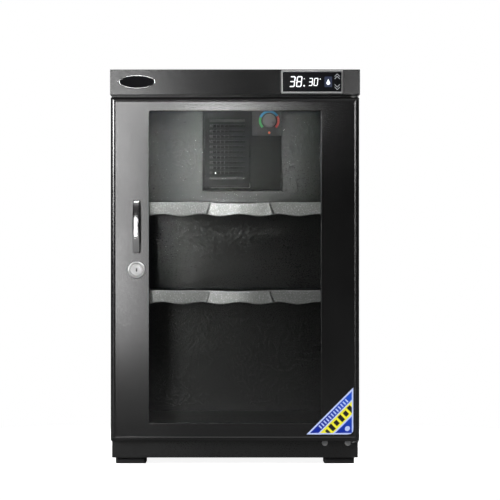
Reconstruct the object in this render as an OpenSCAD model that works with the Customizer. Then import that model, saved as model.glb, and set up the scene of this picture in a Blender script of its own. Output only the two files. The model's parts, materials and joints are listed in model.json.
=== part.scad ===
// Camera dry cabinet: a small steel cabinet with a glazed door hinged on its right, two pull-out
// trays, a thermoelectric drying unit on the back wall and a header with a display above the door.
// X runs to the right as seen from the front, Y to the back and Z up. The origin lies on the
// surface that the cabinet stands on, under the middle of its whole width and depth.

/* [Casing] */
// Width of the casing over its side walls
casing_w = 396; // [330:1:520]
// Depth of the casing from its front flange to its back wall
casing_d = 340; // [300:1:440]
// Height of the casing from the plinth's lower edge to the header
casing_h = 583; // [480:1:760]
// Thickness of the casing's sheet steel
sheet_t = 1.2; // [0.8:0.1:1.6]
// Height of the plinth that shows under the door
plinth_h = 28; // [22:1:50]
// Height of the cabinet floor above the plinth's lower edge
floor_rise = 56; // [50:1:80]
// Width of the front flange at each side of the opening
side_flange_w = 21; // [18:1:28]
// Height of the front flange over the opening
top_flange_h = 22; // [20:1:34]
// Depth of the stiffening lip behind the front flange
flange_lip_d = 9; // [5:1:14]
// Width of the flanges that carry the back wall
back_flange_w = 12; // [8:1:20]
// Height of the flange that the header is screwed to
header_flange_h = 9.5; // [8:0.5:9.5]

/* [Header] */
// Height of the header
header_h = 40; // [39:1:60]
// How far the header stands out past the casing at each side
header_proud = 2; // [1:0.5:6]
// Width of the lips under the header
header_lip_w = 10; // [6:1:16]
// Width of the display's frame
display_w = 99.5; // [90:0.5:120]
// Height of the display's frame
display_h = 37.6; // [30:0.1:38]
// Distance from the header's right side to the display's frame
display_inset = 27; // [10:1:60]
// Width of the rim round the display
display_rim_w = 2.8; // [2:0.1:4]
// Depth of the display's case behind the rim
display_case_d = 12; // [10:0.5:20]
// Width of the oval badge
badge_w = 58.6; // [40:0.1:70]
// Height of the oval badge
badge_h = 21.4; // [14:0.1:30]
// Distance from the header's left side to the badge
badge_inset = 14; // [8:1:40]
// Width of the badge's rim
badge_rim_w = 1.4; // [1:0.1:2.5]
// Thickness of the badge's rim
badge_rim_t = 1.6; // [1:0.1:2.5]

/* [Feet] */
// Height of each foot
foot_h = 10; // [8:1:30]
// Width of each foot
foot_w = 49; // [30:1:54]
// Distance from the casing's side to a foot
foot_inset_x = 5.5; // [3:0.5:20]
// Distance from the casing's front or back to a foot
foot_inset_y = 8; // [4:1:40]

/* [Door] */
// Thickness of the door
door_t = 22; // [20:1:30]
// How far the door stands out past the casing at each side
door_proud = 1; // [0:0.5:2]
// Gap between the door and the header
door_top_gap = 4; // [4:0.5:8]
// Gap between the closed door and the casing, which the gasket fills
seal_gap = 3; // [3:0.1:5]
// Thickness of the door's pressed skin and liner
skin_t = 1; // [0.8:0.1:1.5]
// Width of the raised border round the door
border_w = 8; // [5:0.5:10]
// Height of the raised border over the panel
border_step = 1.5; // [0.5:0.1:3]
// Width of the door's face at each side of the window
stile_w = 61.5; // [50:0.5:80]
// Height of the door's face over the window
top_rail_h = 22; // [18:0.5:50]
// Height of the door's face under the window
bottom_rail_h = 28.5; // [24:0.5:60]
// Depth of the collar that folds in round the window
window_fold_d = 6; // [4:0.5:8]
// Thickness of the window glass
glass_t = 4; // [3:0.5:5]
// Width of glass held behind the window's edge
glass_overlap = 6; // [4:0.5:10]
// Width of the gasket on the back of the door
gasket_w = 8; // [6:0.5:9]
// Distance from the door's edge to the gasket
gasket_inset = 10; // [9:0.5:12]
// Length of the right angled sides of the corner label
label_side = 75; // [40:1:90]
// Radius of the label's rounded corner
label_r = 8; // [4:1:14]

/* [Hinges] */
// Distance from the door's right edge to the hinge axis
pivot_inset = 7; // [7:0.5:7.5]
// Distance from the back of the door to the hinge axis
pivot_back = 10; // [9.5:0.5:10.5]
// Radius of the hinge pins
pin_r = 3; // [2:0.5:3.5]
// Length of pin that reaches into the door
pin_reach = 14; // [8:1:24]
// Wall of the bushes that the pins turn in
bush_wall = 2; // [1:0.1:2.5]
// Thickness of the sheet hinge brackets
bracket_t = 2; // [1.5:0.1:2.2]
// Distance between the two screws of a bracket
hinge_screw_pitch = 37; // [24:1:60]

/* [Handle and lock] */
// Length of the handle
handle_l = 85; // [70:1:160]
// Width of the handle
handle_w = 11; // [8:0.5:18]
// How far the handle stands out from the door's border
handle_reach = 27; // [22:1:40]
// Thickness of the handle's grip
grip_t = 7; // [5:0.5:9]
// Radius of the curve along the front of the handle
handle_bow_r = 90; // [70:1:200]
// Height of each foot of the handle
handle_foot_l = 12; // [9:0.5:16]
// Distance from the door's left edge to the middle of the handle and lock
handle_inset = 41.5; // [34:0.5:50]
// Height of the middle of the handle over the door's lower edge
handle_rise = 343; // [200:1:380]
// Height of the lock over the door's lower edge
lock_rise = 274; // [160:1:290]
// Radius of the lock's face
lock_face_r = 14; // [12:0.5:17]
// Radius of the lock's threaded barrel
lock_barrel_r = 9.5; // [8:0.5:10]
// Radius of the plug that the key turns
plug_r = 6.5; // [5:0.1:7]
// Length of the cam from the lock's axis to its tip
cam_reach = 31; // [28:0.5:34]
// Width of the cam
cam_w = 12; // [8:0.5:14]

/* [Trays] */
// Height from the cabinet floor to the lower tray's deck
lower_bay_h = 213.5; // [120:0.5:300]
// Height from the lower deck to the upper deck
middle_bay_h = 142.5; // [90:0.5:200]
// Distance from the front of the casing to the trays
tray_setback = 22; // [20:1:60]
// Gap between a tray and the front flange at each side
tray_side_gap = 14; // [12:0.5:30]
// Height of a tray's folded sides
tray_side_h = 14; // [10:0.5:20]
// Thickness of the tray's sheet steel
tray_t = 1.2; // [0.8:0.1:1.6]
// Mean height of the wavy front of a tray
tray_front_h = 21.5; // [20:0.5:30]
// Thickness of the wavy front
tray_front_t = 3; // [2:0.1:5]
// Length of one wave along the lower edge of the front
wave_l = 63; // [40:1:90]
// Height of the waves from trough to crest
wave_h = 3.7; // [1:0.1:5]
// Offset of the waves and of the pull from the middle of the tray
wave_shift = 8; // [-20:1:20]
// Width of the pull along its upper edge
pull_top_w = 91; // [60:1:110]
// Width of the pull along its lower edge
pull_bottom_w = 106; // [70:1:130]
// How far the pull stands out from the front
pull_proud = 4; // [2:0.5:5]
// Width of the shelf that a tray's side slides on
runner_shelf_w = 10; // [8:0.5:14]
// Height of the runner's riveted leg
runner_leg_h = 20; // [16:1:30]
// Thickness of the runner's sheet steel
runner_t = 1.5; // [1:0.1:2]

/* [Drying unit] */
// Width of the unit inside the cabinet
unit_w = 136; // [120:1:170]
// Height of the unit
unit_h = 140; // [120:1:170]
// Depth of the unit in front of the back wall
unit_d = 45; // [38:1:70]
// Distance of the unit's middle to the right of the cabinet's middle
unit_shift = 12; // [-20:1:20]
// Gap between the unit and the ceiling
unit_top_gap = 2; // [1:0.5:20]
// Wall of the unit's plastic housing
unit_wall = 2.5; // [2:0.1:3]
// Width of the control plate
plate_w = 50.5; // [44:0.5:60]
// Height of the control plate
plate_h = 46; // [44:1:60]
// Thickness of the control plate
plate_t = 2; // [1.5:0.1:3]
// Radius of the humidity knob
knob_r = 11.6; // [8:0.1:12]
// Length of the humidity knob
knob_l = 10; // [8:0.5:20]
// Outer radius of the coloured ring
ring_r = 17.9; // [15:0.1:20]
// Width of the coloured ring
ring_w = 4; // [2:0.1:5]
// Side of the square thermoelectric module
module_w = 40; // [30:1:50]
// Thickness of the thermoelectric module
module_t = 3.8; // [3:0.1:6]
// Width of each heat sink
sink_w = 70; // [60:1:74]
// Height of each heat sink
sink_h = 90; // [70:1:100]
// Thickness of each heat sink's base
sink_base_t = 5; // [3:0.5:6]
// Number of fins on each heat sink
sink_fins = 11; // [5:1:15]
// Depth of the cover over the outer heat sink
rear_cover_d = 22; // [18:1:40]
// Width of the cover over the outer heat sink
rear_cover_w = 150; // [130:1:190]
// Height of the cover over the outer heat sink
rear_cover_h = 140; // [120:1:150]

/* [Hidden] */
$fn = 48;

// Clearances: a shaft that turns, a screw in its hole, a sliding fit, a resting gap, a cut's overrun
turn_gap = 0.05;
screw_gap = 0.05;
slide_gap = 0.3;
rest_gap = 0.3;
over = 1;

// Colours
black_steel = "#1c1c1e";
grey_steel = "#4a4b4d";
zinc = "#b9bcc0";
chrome = "#d8dadd";
black_plastic = "#151516";
rubber = "#0d0d0e";

// Levels, from the surface up
casing_top = foot_h + casing_h;
header_top = casing_top + header_h;
floor_z = foot_h + floor_rise;
ceiling_z = casing_top - sheet_t;
opening_top = casing_top - top_flange_h;
door_z = foot_h + plinth_h;
door_top = casing_top - door_top_gap;
door_h = door_top - door_z;
lower_deck_z = floor_z + lower_bay_h;
upper_deck_z = lower_deck_z + middle_bay_h;
handle_z = door_z + handle_rise;
lock_z = door_z + lock_rise;

// Depths, from the handle to the cover at the back
total_d = handle_reach + door_t + seal_gap + casing_d + rear_cover_d;
door_front = handle_reach - total_d / 2;
door_back = door_front + door_t;
casing_front = door_back + seal_gap;
casing_back = casing_front + casing_d;
flange_back = casing_front + sheet_t;
wall_front = casing_back - sheet_t;
panel_front = door_front + border_step;
unit_front = wall_front - unit_d;
rear_cover_back = casing_back + rear_cover_d;

// Half widths and places across the cabinet
side_x = casing_w / 2;
wall_x = side_x - sheet_t;
opening_x = side_x - side_flange_w;
header_x = side_x + header_proud;
door_x = side_x + door_proud;
window_x = door_x - stile_w;
pivot_x = door_x - pivot_inset;
pivot_y = door_back - pivot_back;
lock_x = handle_inset - door_x;
tray_x = opening_x - tray_side_gap;

// Header details
lip_t = sheet_t;
display_x = header_x - display_inset - display_w / 2;
header_mid_z = casing_top + header_h / 2;
display_rim_t = 1.5;
display_case_wall = 1.2;
display_case_w = display_w - 2 * display_rim_w + 2 * display_case_wall;
display_case_h = display_h - 2 * display_rim_w + 2 * display_case_wall;
display_window_t = 2;
display_sink = 0.6;
display_r = 2;
board_t = 1.6;
board_gap = 2;
badge_x = badge_inset + badge_w / 2 - header_x;
badge_plate_t = 1;
digit_sizes = [[13, 18], [10, 14]];
digit_pitch = 15;
digit_start = 11;
header_screw_r = 2;
header_screw_z = casing_top + header_flange_h / 2;
header_screw_x = side_x - 3 * header_lip_w;
supply_size = [96, 62, 27];
supply_x = -100;
supply_ear = 10;
supply_y = 20;
inlet_size = [27, 20, 18];
inlet_flange = [34, 26, 2.2];
inlet_x = -130;
inlet_pin_r = 1.2;
inlet_pin_pitch = 8.6;
inlet_wall = 2.2;
lead_r = 2;
branch_r = 2.4;
trunk_r = 3;
lead_hole_r = 7;

// Screws and rivets
screw_r = 2;
head_r = 4.8;
head_h = 2.5;
drive_l = 5.4;
drive_w = 1;
drive_d = 1;
small_head_r = 3.6;
small_head_h = 2;
rivet_r = 1.6;
rivet_head_r = 3;
rivet_head_h = 1;

// Feet
foot_r = 4;
foot_recess_r = 6;
foot_recess_d = 4;
foot_screw_l = 8;
base_flange_w = foot_inset_x + foot_w + foot_r;
plinth_fold = 16;

// Hinges
bush_flange_t = 0.5;
bush_flange_w = 1.5;
bush_flange_r = pin_r + bush_wall + bush_flange_w;
hinge_play = 0.2;
lower_tongue_z = door_z - bush_flange_t - hinge_play - bracket_t;
upper_tongue_z = door_top + bush_flange_t + hinge_play;
hinge_eye_r = 6.5;
hinge_neck_w = 8;
hinge_edge = 4.5;
hinge_neck_x = pivot_x + hinge_edge;
bracket_plate_t = 2.5;
bracket_plate_h = 17;
bracket_l = 58;
hinge_screw_inset = 10.5;
hinge_screw_x = pivot_x - hinge_screw_inset;
hinge_screw_drop = 4;
lower_screw_z = door_z - hinge_screw_drop;
upper_screw_z = door_top - head_r;
hinge_screw_l = 6;

// Door details
fold_w = 10;
window_r = 2;
window_low = door_z + bottom_rail_h;
window_high = door_top - top_rail_h;
window_mid = (window_low + window_high) / 2;
window_w = 2 * window_x;
window_h = window_high - window_low;
seal_lip_t = 1.2;
seal_edge_t = 1.5;
seal_front = panel_front + window_fold_d;
glass_front = seal_front + seal_lip_t;
glass_back = glass_front + glass_t;
seal_back = glass_back + seal_lip_t;
liner_window_grow = 2;
liner_front = door_back - 2 * skin_t;
gasket_back = casing_front - rest_gap;
gasket_front = door_back - skin_t;
label_t = 0.3;
label_gap_x = 9.7;
label_gap_z = 10.9;
label_arc_steps = 8;

// Handle, lock and cam
handle_front = door_front - handle_reach;
handle_gap_l = handle_l - 2 * handle_foot_l;
handle_screw_r = 2;
handle_screw_in = 8;
lock_face_t = 2.5;
lock_face_recess = 2;
plug_head_r = 9.6;
plug_proud = 0.6;
key_w = 2.4;
key_h = 5.6;
key_d = 10;
lock_reach = 1.8;
lock_back = casing_front + lock_reach;
cam_t = 2;
cam_post_r = 3.5;
cam_screw_r = 1.5;
cam_head_r = 5.5;
cam_head_t = 2.2;
lock_nut_r = 14;
lock_nut_t = 3;
lock_notch_h = 2 * cam_reach;

// Trays and runners
tray_front_y = casing_front + tray_setback;
tray_back_gap = 7;
tray_back_y = unit_front - tray_back_gap;
pull_drop = 2;
wave_steps = 96;
runner_front_y = tray_front_y + tray_front_t + slide_gap;
runner_back_y = tray_back_y;
runner_guide_x = tray_x + slide_gap;
runner_lip_w = 8;
rivet_inset_y = 25;

// Drying unit
unit_x = unit_shift;
unit_top = ceiling_z - unit_top_gap;
unit_low = unit_top - unit_h;
plate_x = unit_x + unit_w / 2 - plate_w / 2;
plate_low = unit_top - plate_h;
dial_shift = 4.3;
dial_rise = 25.6;
lens_drop = 20.6;
dial_x = plate_x + dial_shift;
dial_z = plate_low + dial_rise;
lens_z = dial_z - lens_drop;
lens_r = 2;
lens_proud = 0.8;
ring_t = 0.3;
shaft_r = 3;
shaft_hole_r = 4;
pot_r = 8;
pot_d = 9;
knob_gap = 0.8;
knob_cap_t = 3;
dimple_r = 1.6;
dimple_d = 0.8;
dimple_at = 7.6;
dimple_turn = 315;
cover_gap = 0.3;
cover_margin = 4;
cover_w = unit_w - plate_w - 2 * cover_margin;
cover_h = unit_h - 2 * cover_margin;
cover_x = unit_x - unit_w / 2 + cover_margin + cover_w / 2;
cover_t = 2;
slot_h = 4;
slot_pitch = 9;
slot_side = 8;
sink_shift = 8;
sink_x = cover_x + sink_shift;
sink_z = unit_low + unit_h / 2;
cold_base_back = casing_back - module_t;
cold_base_front = cold_base_back - sink_base_t;
cold_fin_d = 22;
hot_fin_d = 12;
fin_t = 1.4;
module_hole_gap = 2;
sink_screw_x = 29;
sink_screw_z = 38;
sink_screw_r = 1.5;
sink_screw_head_r = 2.8;
drip_w = 74;
drip_d = 30;
drip_h = 9;
drip_wall = 1.5;
rear_tab_w = 14;
rear_screw_inset = 20;
rear_screw_z = rear_cover_h / 2 - rear_screw_inset;
vent_w = 4;
vent_pitch = 10;
vent_h = 52;
vent_gap = 14;

// The shape between two planes in each direction
module span(x0, x1, y0, y1, z0, z1) {
    translate([x0, y0, z0]) cube([x1 - x0, y1 - y0, z1 - z0]);
}

// A rod along Y, and one along Z
module rod_y(x, z, r, y0, y1) {
    translate([x, y0, z]) rotate([-90, 0, 0]) cylinder(r = r, h = y1 - y0);
}
module rod_z(x, y, r, z0, z1) {
    translate([x, y, z0]) cylinder(r = r, h = z1 - z0);
}
module rod_x(y, z, r, x0, x1) {
    translate([x0, y, z]) rotate([0, 90, 0]) cylinder(r = r, h = x1 - x0);
}

// A rectangle with round corners, centred
module soft_rect(w, h, r) {
    square([w - 2 * r, h], center = true);
    square([w, h - 2 * r], center = true);
    for (sx = [-1, 1], sy = [-1, 1]) translate([sx * (w / 2 - r), sy * (h / 2 - r)]) circle(r = r);
}

// A flat outline given in X and Z, made solid from y0 to y1
module upright(y0, y1) {
    translate([0, y1, 0]) rotate([90, 0, 0]) linear_extrude(y1 - y0) children();
}

// A block with rounded corners seen from the front
module pane(x, z, w, h, y0, y1, r = window_r) {
    upright(y0, y1) translate([x, z]) soft_rect(w, h, r);
}

// A frame with an outer and an inner edge, seen from the front
module ring_pane(x, z, w, h, border, y0, y1, r = window_r) {
    upright(y0, y1) translate([x, z]) difference() {
        soft_rect(w, h, r + border);
        soft_rect(w - 2 * border, h - 2 * border, r);
    }
}

// A pan head screw whose head is in front and whose shank runs back along +Y
module screw_y(x, z, head_y, shank_l, r, hr, hh) {
    difference() {
        union() {
            rod_y(x, z, hr, head_y - hh, head_y);
            rod_y(x, z, r, head_y, head_y + shank_l);
        }
        cross_recess(x, z, head_y - hh);
    }
}
module cross_recess(x, z, y) {
    span(x - drive_l / 2, x + drive_l / 2, y - over, y + drive_d, z - drive_w / 2, z + drive_w / 2);
    span(x - drive_w / 2, x + drive_w / 2, y - over, y + drive_d, z - drive_l / 2, z + drive_l / 2);
}

// The same screw turned round, with its head at the back
module screw_from_back(x, z, head_y, shank_l, r, hr, hh) {
    translate([0, head_y, 0]) mirror([0, 1, 0]) screw_y(x, z, 0, shank_l, r, hr, hh);
}

// Casing

// The left side wall, with its front flange, lip, back flange and base flange
module side_panel(notched) {
    difference() {
        union() {
            span(-side_x, -wall_x, flange_back, wall_front, foot_h, ceiling_z);
            span(-side_x, -opening_x, casing_front, flange_back, floor_z, opening_top);
            span(-opening_x - sheet_t, -opening_x, flange_back, flange_back + flange_lip_d, floor_z,
                opening_top);
            span(-wall_x, back_flange_w - wall_x, wall_front - sheet_t, wall_front, floor_z, ceiling_z);
            span(-wall_x, base_flange_w - side_x, flange_back, wall_front, foot_h, foot_h + sheet_t);
        }
        if (notched) {
            span(-wall_x, over - opening_x, flange_back, flange_back + flange_lip_d + over,
                lock_z - lock_notch_h / 2, lock_z + lock_notch_h / 2);
        }
        foot_places() rod_z(0, 0, screw_r + screw_gap, foot_h - over, foot_h + sheet_t + over);
        for (deck = [lower_deck_z, upper_deck_z]) rivet_places(deck)
            rod_x(0, 0, rivet_r + screw_gap, -side_x - over, -wall_x + over);
    }
}

module left_side_panel() {
    color(black_steel) side_panel(true);
}

module right_side_panel() {
    color(black_steel) mirror([1, 0, 0]) side_panel(false);
}

// The floor, with the plinth folded down from its front edge
module floor_panel() {
    color(black_steel) difference() {
        union() {
            span(-wall_x, wall_x, flange_back, wall_front, floor_z - sheet_t, floor_z);
            span(-side_x, side_x, casing_front, flange_back, foot_h, floor_z);
            span(base_flange_w - side_x, side_x - base_flange_w, flange_back, flange_back + plinth_fold,
                foot_h, foot_h + sheet_t);
        }
        hinge_openings(lower_tongue_z, lower_screw_z);
    }
}

// The ceiling, with the flange over the opening and the upturned flange that holds the header
module ceiling_panel() {
    color(black_steel) difference() {
        union() {
            span(-side_x, side_x, casing_front, wall_front, ceiling_z, casing_top);
            span(-side_x, side_x, casing_front, flange_back, opening_top, ceiling_z);
            span(-opening_x, opening_x, flange_back, flange_back + flange_lip_d, opening_top,
                opening_top + sheet_t);
            span(2 * header_lip_w - side_x, side_x - 2 * header_lip_w, wall_front - sheet_t, wall_front,
                casing_top, casing_top + header_flange_h);
        }
        hinge_openings(upper_tongue_z, upper_screw_z);
        header_screw_places()
            rod_y(0, 0, header_screw_r + screw_gap, wall_front - sheet_t - over, wall_front + over);
        rod_z(dial_x, unit_front + unit_d / 2, lead_hole_r, ceiling_z - over, casing_top + over);
    }
}

module back_panel() {
    hole = module_w + 2 * module_hole_gap;
    color(black_steel) difference() {
        span(-side_x, side_x, wall_front, casing_back, foot_h, casing_top);
        pane(sink_x, sink_z, hole, hole, wall_front - over, casing_back + over);
        sink_screw_places() rod_y(0, 0, sink_screw_r + screw_gap, wall_front - over, casing_back + over);
        rear_screw_places() rod_y(0, 0, screw_r + screw_gap, wall_front - over, casing_back + over);
    }
}

// Feet

module foot_places() {
    for (y = [casing_front + foot_inset_y + foot_w / 2, casing_back - foot_inset_y - foot_w / 2])
        translate([foot_inset_x + foot_w / 2 - side_x, y, 0]) children();
}

module all_foot_places() {
    foot_places() children();
    mirror([1, 0, 0]) foot_places() children();
}

module feet() {
    color(rubber) all_foot_places() difference() {
        linear_extrude(foot_h) soft_rect(foot_w, foot_w, foot_r);
        rod_z(0, 0, foot_recess_r, -over, foot_recess_d);
        rod_z(0, 0, screw_r + screw_gap, 0, foot_h + over);
    }
}

module foot_screws() {
    color(zinc) all_foot_places() {
        rod_z(0, 0, head_r, foot_recess_d - head_h, foot_recess_d);
        rod_z(0, 0, screw_r, foot_recess_d - over, foot_recess_d + foot_screw_l);
    }
}

// Header

module header_screw_places() {
    for (x = [-header_screw_x, 0, header_screw_x]) translate([x, 0, header_screw_z]) children();
}

// A cap over the casing and the door, folded in under its edges
module header_cover() {
    color(black_steel) difference() {
        span(-header_x, header_x, door_front, casing_back, casing_top, header_top);
        span(sheet_t - header_x, header_x - sheet_t, door_front + sheet_t, wall_front,
            casing_top + lip_t, header_top - sheet_t);
        span(header_lip_w - header_x, header_x - header_lip_w, casing_front + header_lip_w, wall_front,
            casing_top - over, casing_top + header_h / 2);
        pane(display_x, header_mid_z, display_case_w + 2 * cover_gap, display_case_h + 2 * cover_gap,
            door_front - over, door_front + sheet_t + over, display_r);
        pane(inlet_x, header_mid_z, inlet_size.x + 2 * cover_gap, inlet_size.y + 2 * cover_gap,
            wall_front - over, casing_back + over);
        header_screw_places()
            rod_y(0, 0, header_screw_r + screw_gap, wall_front - over, casing_back + over);
    }
}

module header_screws() {
    color(zinc) header_screw_places()
        screw_from_back(0, 0, casing_back, 3 * sheet_t, header_screw_r, small_head_r, small_head_h);
}

// An oval, drawn in from the badge's edge by inset
module badge_outline(inset) {
    h = badge_h - 2 * inset;
    translate([badge_x, header_mid_z]) scale([(badge_w - 2 * inset) / h, 1]) circle(d = h, $fn = 96);
}

module badge_rim() {
    color(chrome) upright(door_front - badge_rim_t, door_front) difference() {
        badge_outline(0);
        badge_outline(badge_rim_w);
    }
}

module badge_plate() {
    color(black_plastic) upright(door_front - badge_plate_t, door_front) badge_outline(badge_rim_w);
}

// A rim in front of the header, with a case that runs back through its window
module display_bezel() {
    color(chrome) difference() {
        union() {
            pane(display_x, header_mid_z, display_w, display_h, door_front - display_rim_t, door_front,
                display_r);
            pane(display_x, header_mid_z, display_case_w, display_case_h, door_front,
                door_front + display_case_d, display_r);
        }
        pane(display_x, header_mid_z, display_w - 2 * display_rim_w, display_h - 2 * display_rim_w,
            door_front - display_rim_t - over, door_front + display_case_d + over, display_r);
    }
}

module display_window() {
    front = door_front - display_rim_t + display_sink;
    color("#101418") pane(display_x, header_mid_z, display_w - 2 * display_rim_w,
        display_h - 2 * display_rim_w,
        front, front + display_window_t, display_r);
}

digits_front = door_front - display_rim_t + display_sink + display_window_t;
board_front = door_front + display_case_d - board_gap - board_t;

// Two digit blocks of each size side by side, on the board
module digit_modules() {
    left = display_x - display_w / 2 + digit_start;
    color("#e8e8e4") for (i = [0, 1], j = [0, 1]) {
        size = digit_sizes[i];
        x = left + (i * 2 + j) * digit_pitch;
        pane(x, header_mid_z, size.x, size.y, digits_front, board_front, lens_r / 2);
    }
}

module display_board() {
    color("#1d5b34") pane(display_x, header_mid_z, display_w - 2 * display_rim_w,
        display_h - 2 * display_rim_w,
        board_front, board_front + board_t, display_r);
}

// A closed metal case on the ceiling, with a screw ear at each end
module power_supply() {
    w = supply_size.x;
    d = supply_size.y;
    color(zinc) translate([supply_x, supply_y, casing_top]) difference() {
        union() {
            linear_extrude(supply_size.z) soft_rect(w, d, foot_r);
            linear_extrude(sheet_t) soft_rect(w + 2 * supply_ear, d / 2, foot_r);
        }
        for (s = [-1, 1]) rod_z(s * (w + supply_ear) / 2, 0, screw_r, -over, sheet_t + over);
    }
}

// A socket for a mains lead, open to the back, with its two pins
module power_inlet() {
    front = casing_back - inlet_size.z;
    floor_y = front + inlet_wall;
    color(black_plastic) {
        difference() {
            union() {
                pane(inlet_x, header_mid_z, inlet_size.x, inlet_size.y, front, casing_back, inlet_wall);
                pane(inlet_x, header_mid_z, inlet_flange.x, inlet_flange.y, casing_back,
                    casing_back + inlet_flange.z, inlet_wall);
            }
            pane(inlet_x, header_mid_z, inlet_size.x - 2 * inlet_wall, inlet_size.y - 2 * inlet_wall,
                floor_y, casing_back + inlet_flange.z + over, inlet_wall);
        }
        for (s = [-1, 1]) rod_y(inlet_x + s * inlet_pin_pitch / 2, header_mid_z, inlet_pin_r, floor_y,
            casing_back - over);
    }
}

// Round leads inside the header: to the inlet, to the display and down to the drying unit
module wiring() {
    z = casing_top + supply_size.z / 2;
    right = supply_x + supply_size.x / 2;
    drop_y = unit_front + unit_d / 2;
    color("#c22d2d") {
        rod_y(inlet_x, z, lead_r, supply_y + supply_size.y / 2, casing_back - inlet_size.z);
        rod_x(supply_y, z, trunk_r, right, display_x + trunk_r);
        rod_y(display_x, z, branch_r, board_front + board_t, supply_y);
        rod_y(dial_x, z, branch_r, supply_y, drop_y + branch_r);
        rod_z(dial_x, drop_y, lead_r, dial_z, z);
        rod_y(dial_x, dial_z, branch_r, unit_front + unit_wall + pot_d, drop_y + branch_r);
    }
}

// Hinges

// The slot for a bracket's tongue and the holes for its screws in the casing's front
module hinge_openings(tongue_z, screw_z) {
    span(hinge_neck_x - hinge_neck_w - slide_gap, hinge_neck_x + slide_gap, casing_front - over,
        flange_back + over,
        tongue_z - slide_gap / 3, tongue_z + bracket_t + slide_gap / 3);
    hinge_screw_places(screw_z) rod_y(0, 0, screw_r + screw_gap, casing_front - over, flange_back + over);
}

module hinge_screw_places(z) {
    for (i = [0, 1]) translate([hinge_screw_x - i * hinge_screw_pitch, 0, z]) children();
}

// A plate behind the casing's front, with a tongue that reaches out under or over the door
module hinge_bracket(tongue_z, plate_low, screw_z) {
    color(zinc) difference() {
        union() {
            span(hinge_neck_x - bracket_l, hinge_neck_x, flange_back, flange_back + bracket_plate_t,
                plate_low, plate_low + bracket_plate_h);
            translate([0, 0, tongue_z]) linear_extrude(bracket_t) {
                translate([pivot_x, pivot_y]) circle(r = hinge_eye_r);
                translate([hinge_neck_x - hinge_neck_w, pivot_y])
                    square([hinge_neck_w, flange_back - pivot_y]);
            }
        }
        rod_z(pivot_x, pivot_y, pin_r + screw_gap, tongue_z - over, tongue_z + bracket_t + over);
        hinge_screw_places(screw_z)
            rod_y(0, 0, screw_r + screw_gap, flange_back - over, flange_back + bracket_plate_t + over);
    }
}

module lower_hinge_bracket() {
    hinge_bracket(lower_tongue_z, lower_screw_z - bracket_plate_h / 2, lower_screw_z);
}

module upper_hinge_bracket() {
    hinge_bracket(upper_tongue_z, upper_tongue_z + bracket_t - bracket_plate_h, upper_screw_z);
}

module hinge_pins() {
    color(chrome) {
        rod_z(pivot_x, pivot_y, pin_r, lower_tongue_z, door_z + pin_reach);
        rod_z(pivot_x, pivot_y, pin_r, door_top - pin_reach, upper_tongue_z + bracket_t);
    }
}

module hinge_screws() {
    color(chrome) for (z = [lower_screw_z, upper_screw_z]) hinge_screw_places(z)
        screw_y(0, 0, casing_front, hinge_screw_l, screw_r, head_r, small_head_h);
}

// Bushes pressed into the door's lower and upper edges, each with a thin thrust flange
module bush(z, up) {
    translate([pivot_x, pivot_y, z]) mirror([0, 0, up ? 0 : 1]) difference() {
        union() {
            cylinder(r = pin_r + bush_wall, h = pin_reach + over);
            translate([0, 0, -bush_flange_t]) cylinder(r = bush_flange_r, h = bush_flange_t);
        }
        translate([0, 0, -bush_flange_t - over]) cylinder(r = pin_r + turn_gap, h = pin_reach + 4 * over);
    }
}

module hinge_bushes() {
    color("#e6e2d8") {
        bush(door_z, true);
        bush(door_top, false);
    }
}

// Door

door_mid = (door_z + door_top) / 2;

// The pressed skin: a raised border, a panel with the window folded in, and folded edges
module door_skin() {
    inner_w = 2 * (door_x - skin_t);
    inner_h = door_h - 2 * skin_t;
    panel_w = 2 * (door_x - border_w);
    panel_h = door_h - 2 * border_w;
    color(black_steel) difference() {
        union() {
            difference() {
                span(-door_x, door_x, door_front, door_back, door_z, door_top);
                pane(0, door_mid, inner_w, inner_h, door_front + skin_t, door_back - skin_t);
                pane(0, door_mid, 2 * (door_x - fold_w), door_h - 2 * fold_w, panel_front + skin_t,
                    door_back + over);
            }
            pane(0, door_mid, panel_w + 2 * skin_t, panel_h + 2 * skin_t, door_front + skin_t / 2,
                panel_front + skin_t);
            pane(0, window_mid, window_w + 2 * skin_t, window_h + 2 * skin_t, panel_front, seal_front,
                window_r + skin_t);
        }
        pane(0, door_mid, panel_w, panel_h, door_front - over, panel_front);
        pane(0, window_mid, window_w, window_h, door_front - over, seal_front + over);
        rod_y(lock_x, lock_z, lock_barrel_r + screw_gap, door_front - over, panel_front + skin_t + over);
        handle_screw_places()
            rod_y(0, 0, handle_screw_r + screw_gap, panel_front - over, panel_front + skin_t + over);
        for (z = [door_z, door_top])
            rod_z(pivot_x, pivot_y, pin_r + bush_wall + screw_gap, z - 2 * over, z + 2 * over);
    }
}

// The flat inner sheet, folded forward round the window to hold the glass
module door_liner() {
    w = window_w + 2 * liner_window_grow;
    h = window_h + 2 * liner_window_grow;
    sheet_w = 2 * (door_x - skin_t - screw_gap);
    sheet_h = door_h - 2 * (skin_t + screw_gap);
    color(grey_steel) difference() {
        union() {
            pane(0, door_mid, sheet_w, sheet_h, liner_front, liner_front + skin_t);
            pane(0, window_mid, w + 2 * skin_t, h + 2 * skin_t, seal_back, liner_front + skin_t,
                window_r + skin_t);
        }
        pane(0, window_mid, w, h, seal_back - over, door_back);
        rod_y(lock_x, lock_z, lock_barrel_r + screw_gap, liner_front - over, door_back);
    }
}

glass_w = window_w + 2 * glass_overlap;
glass_h = window_h + 2 * glass_overlap;

module window_glass() {
    color([0.5, 0.55, 0.55, 0.35]) pane(0, window_mid, glass_w, glass_h, glass_front, glass_back);
}

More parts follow.
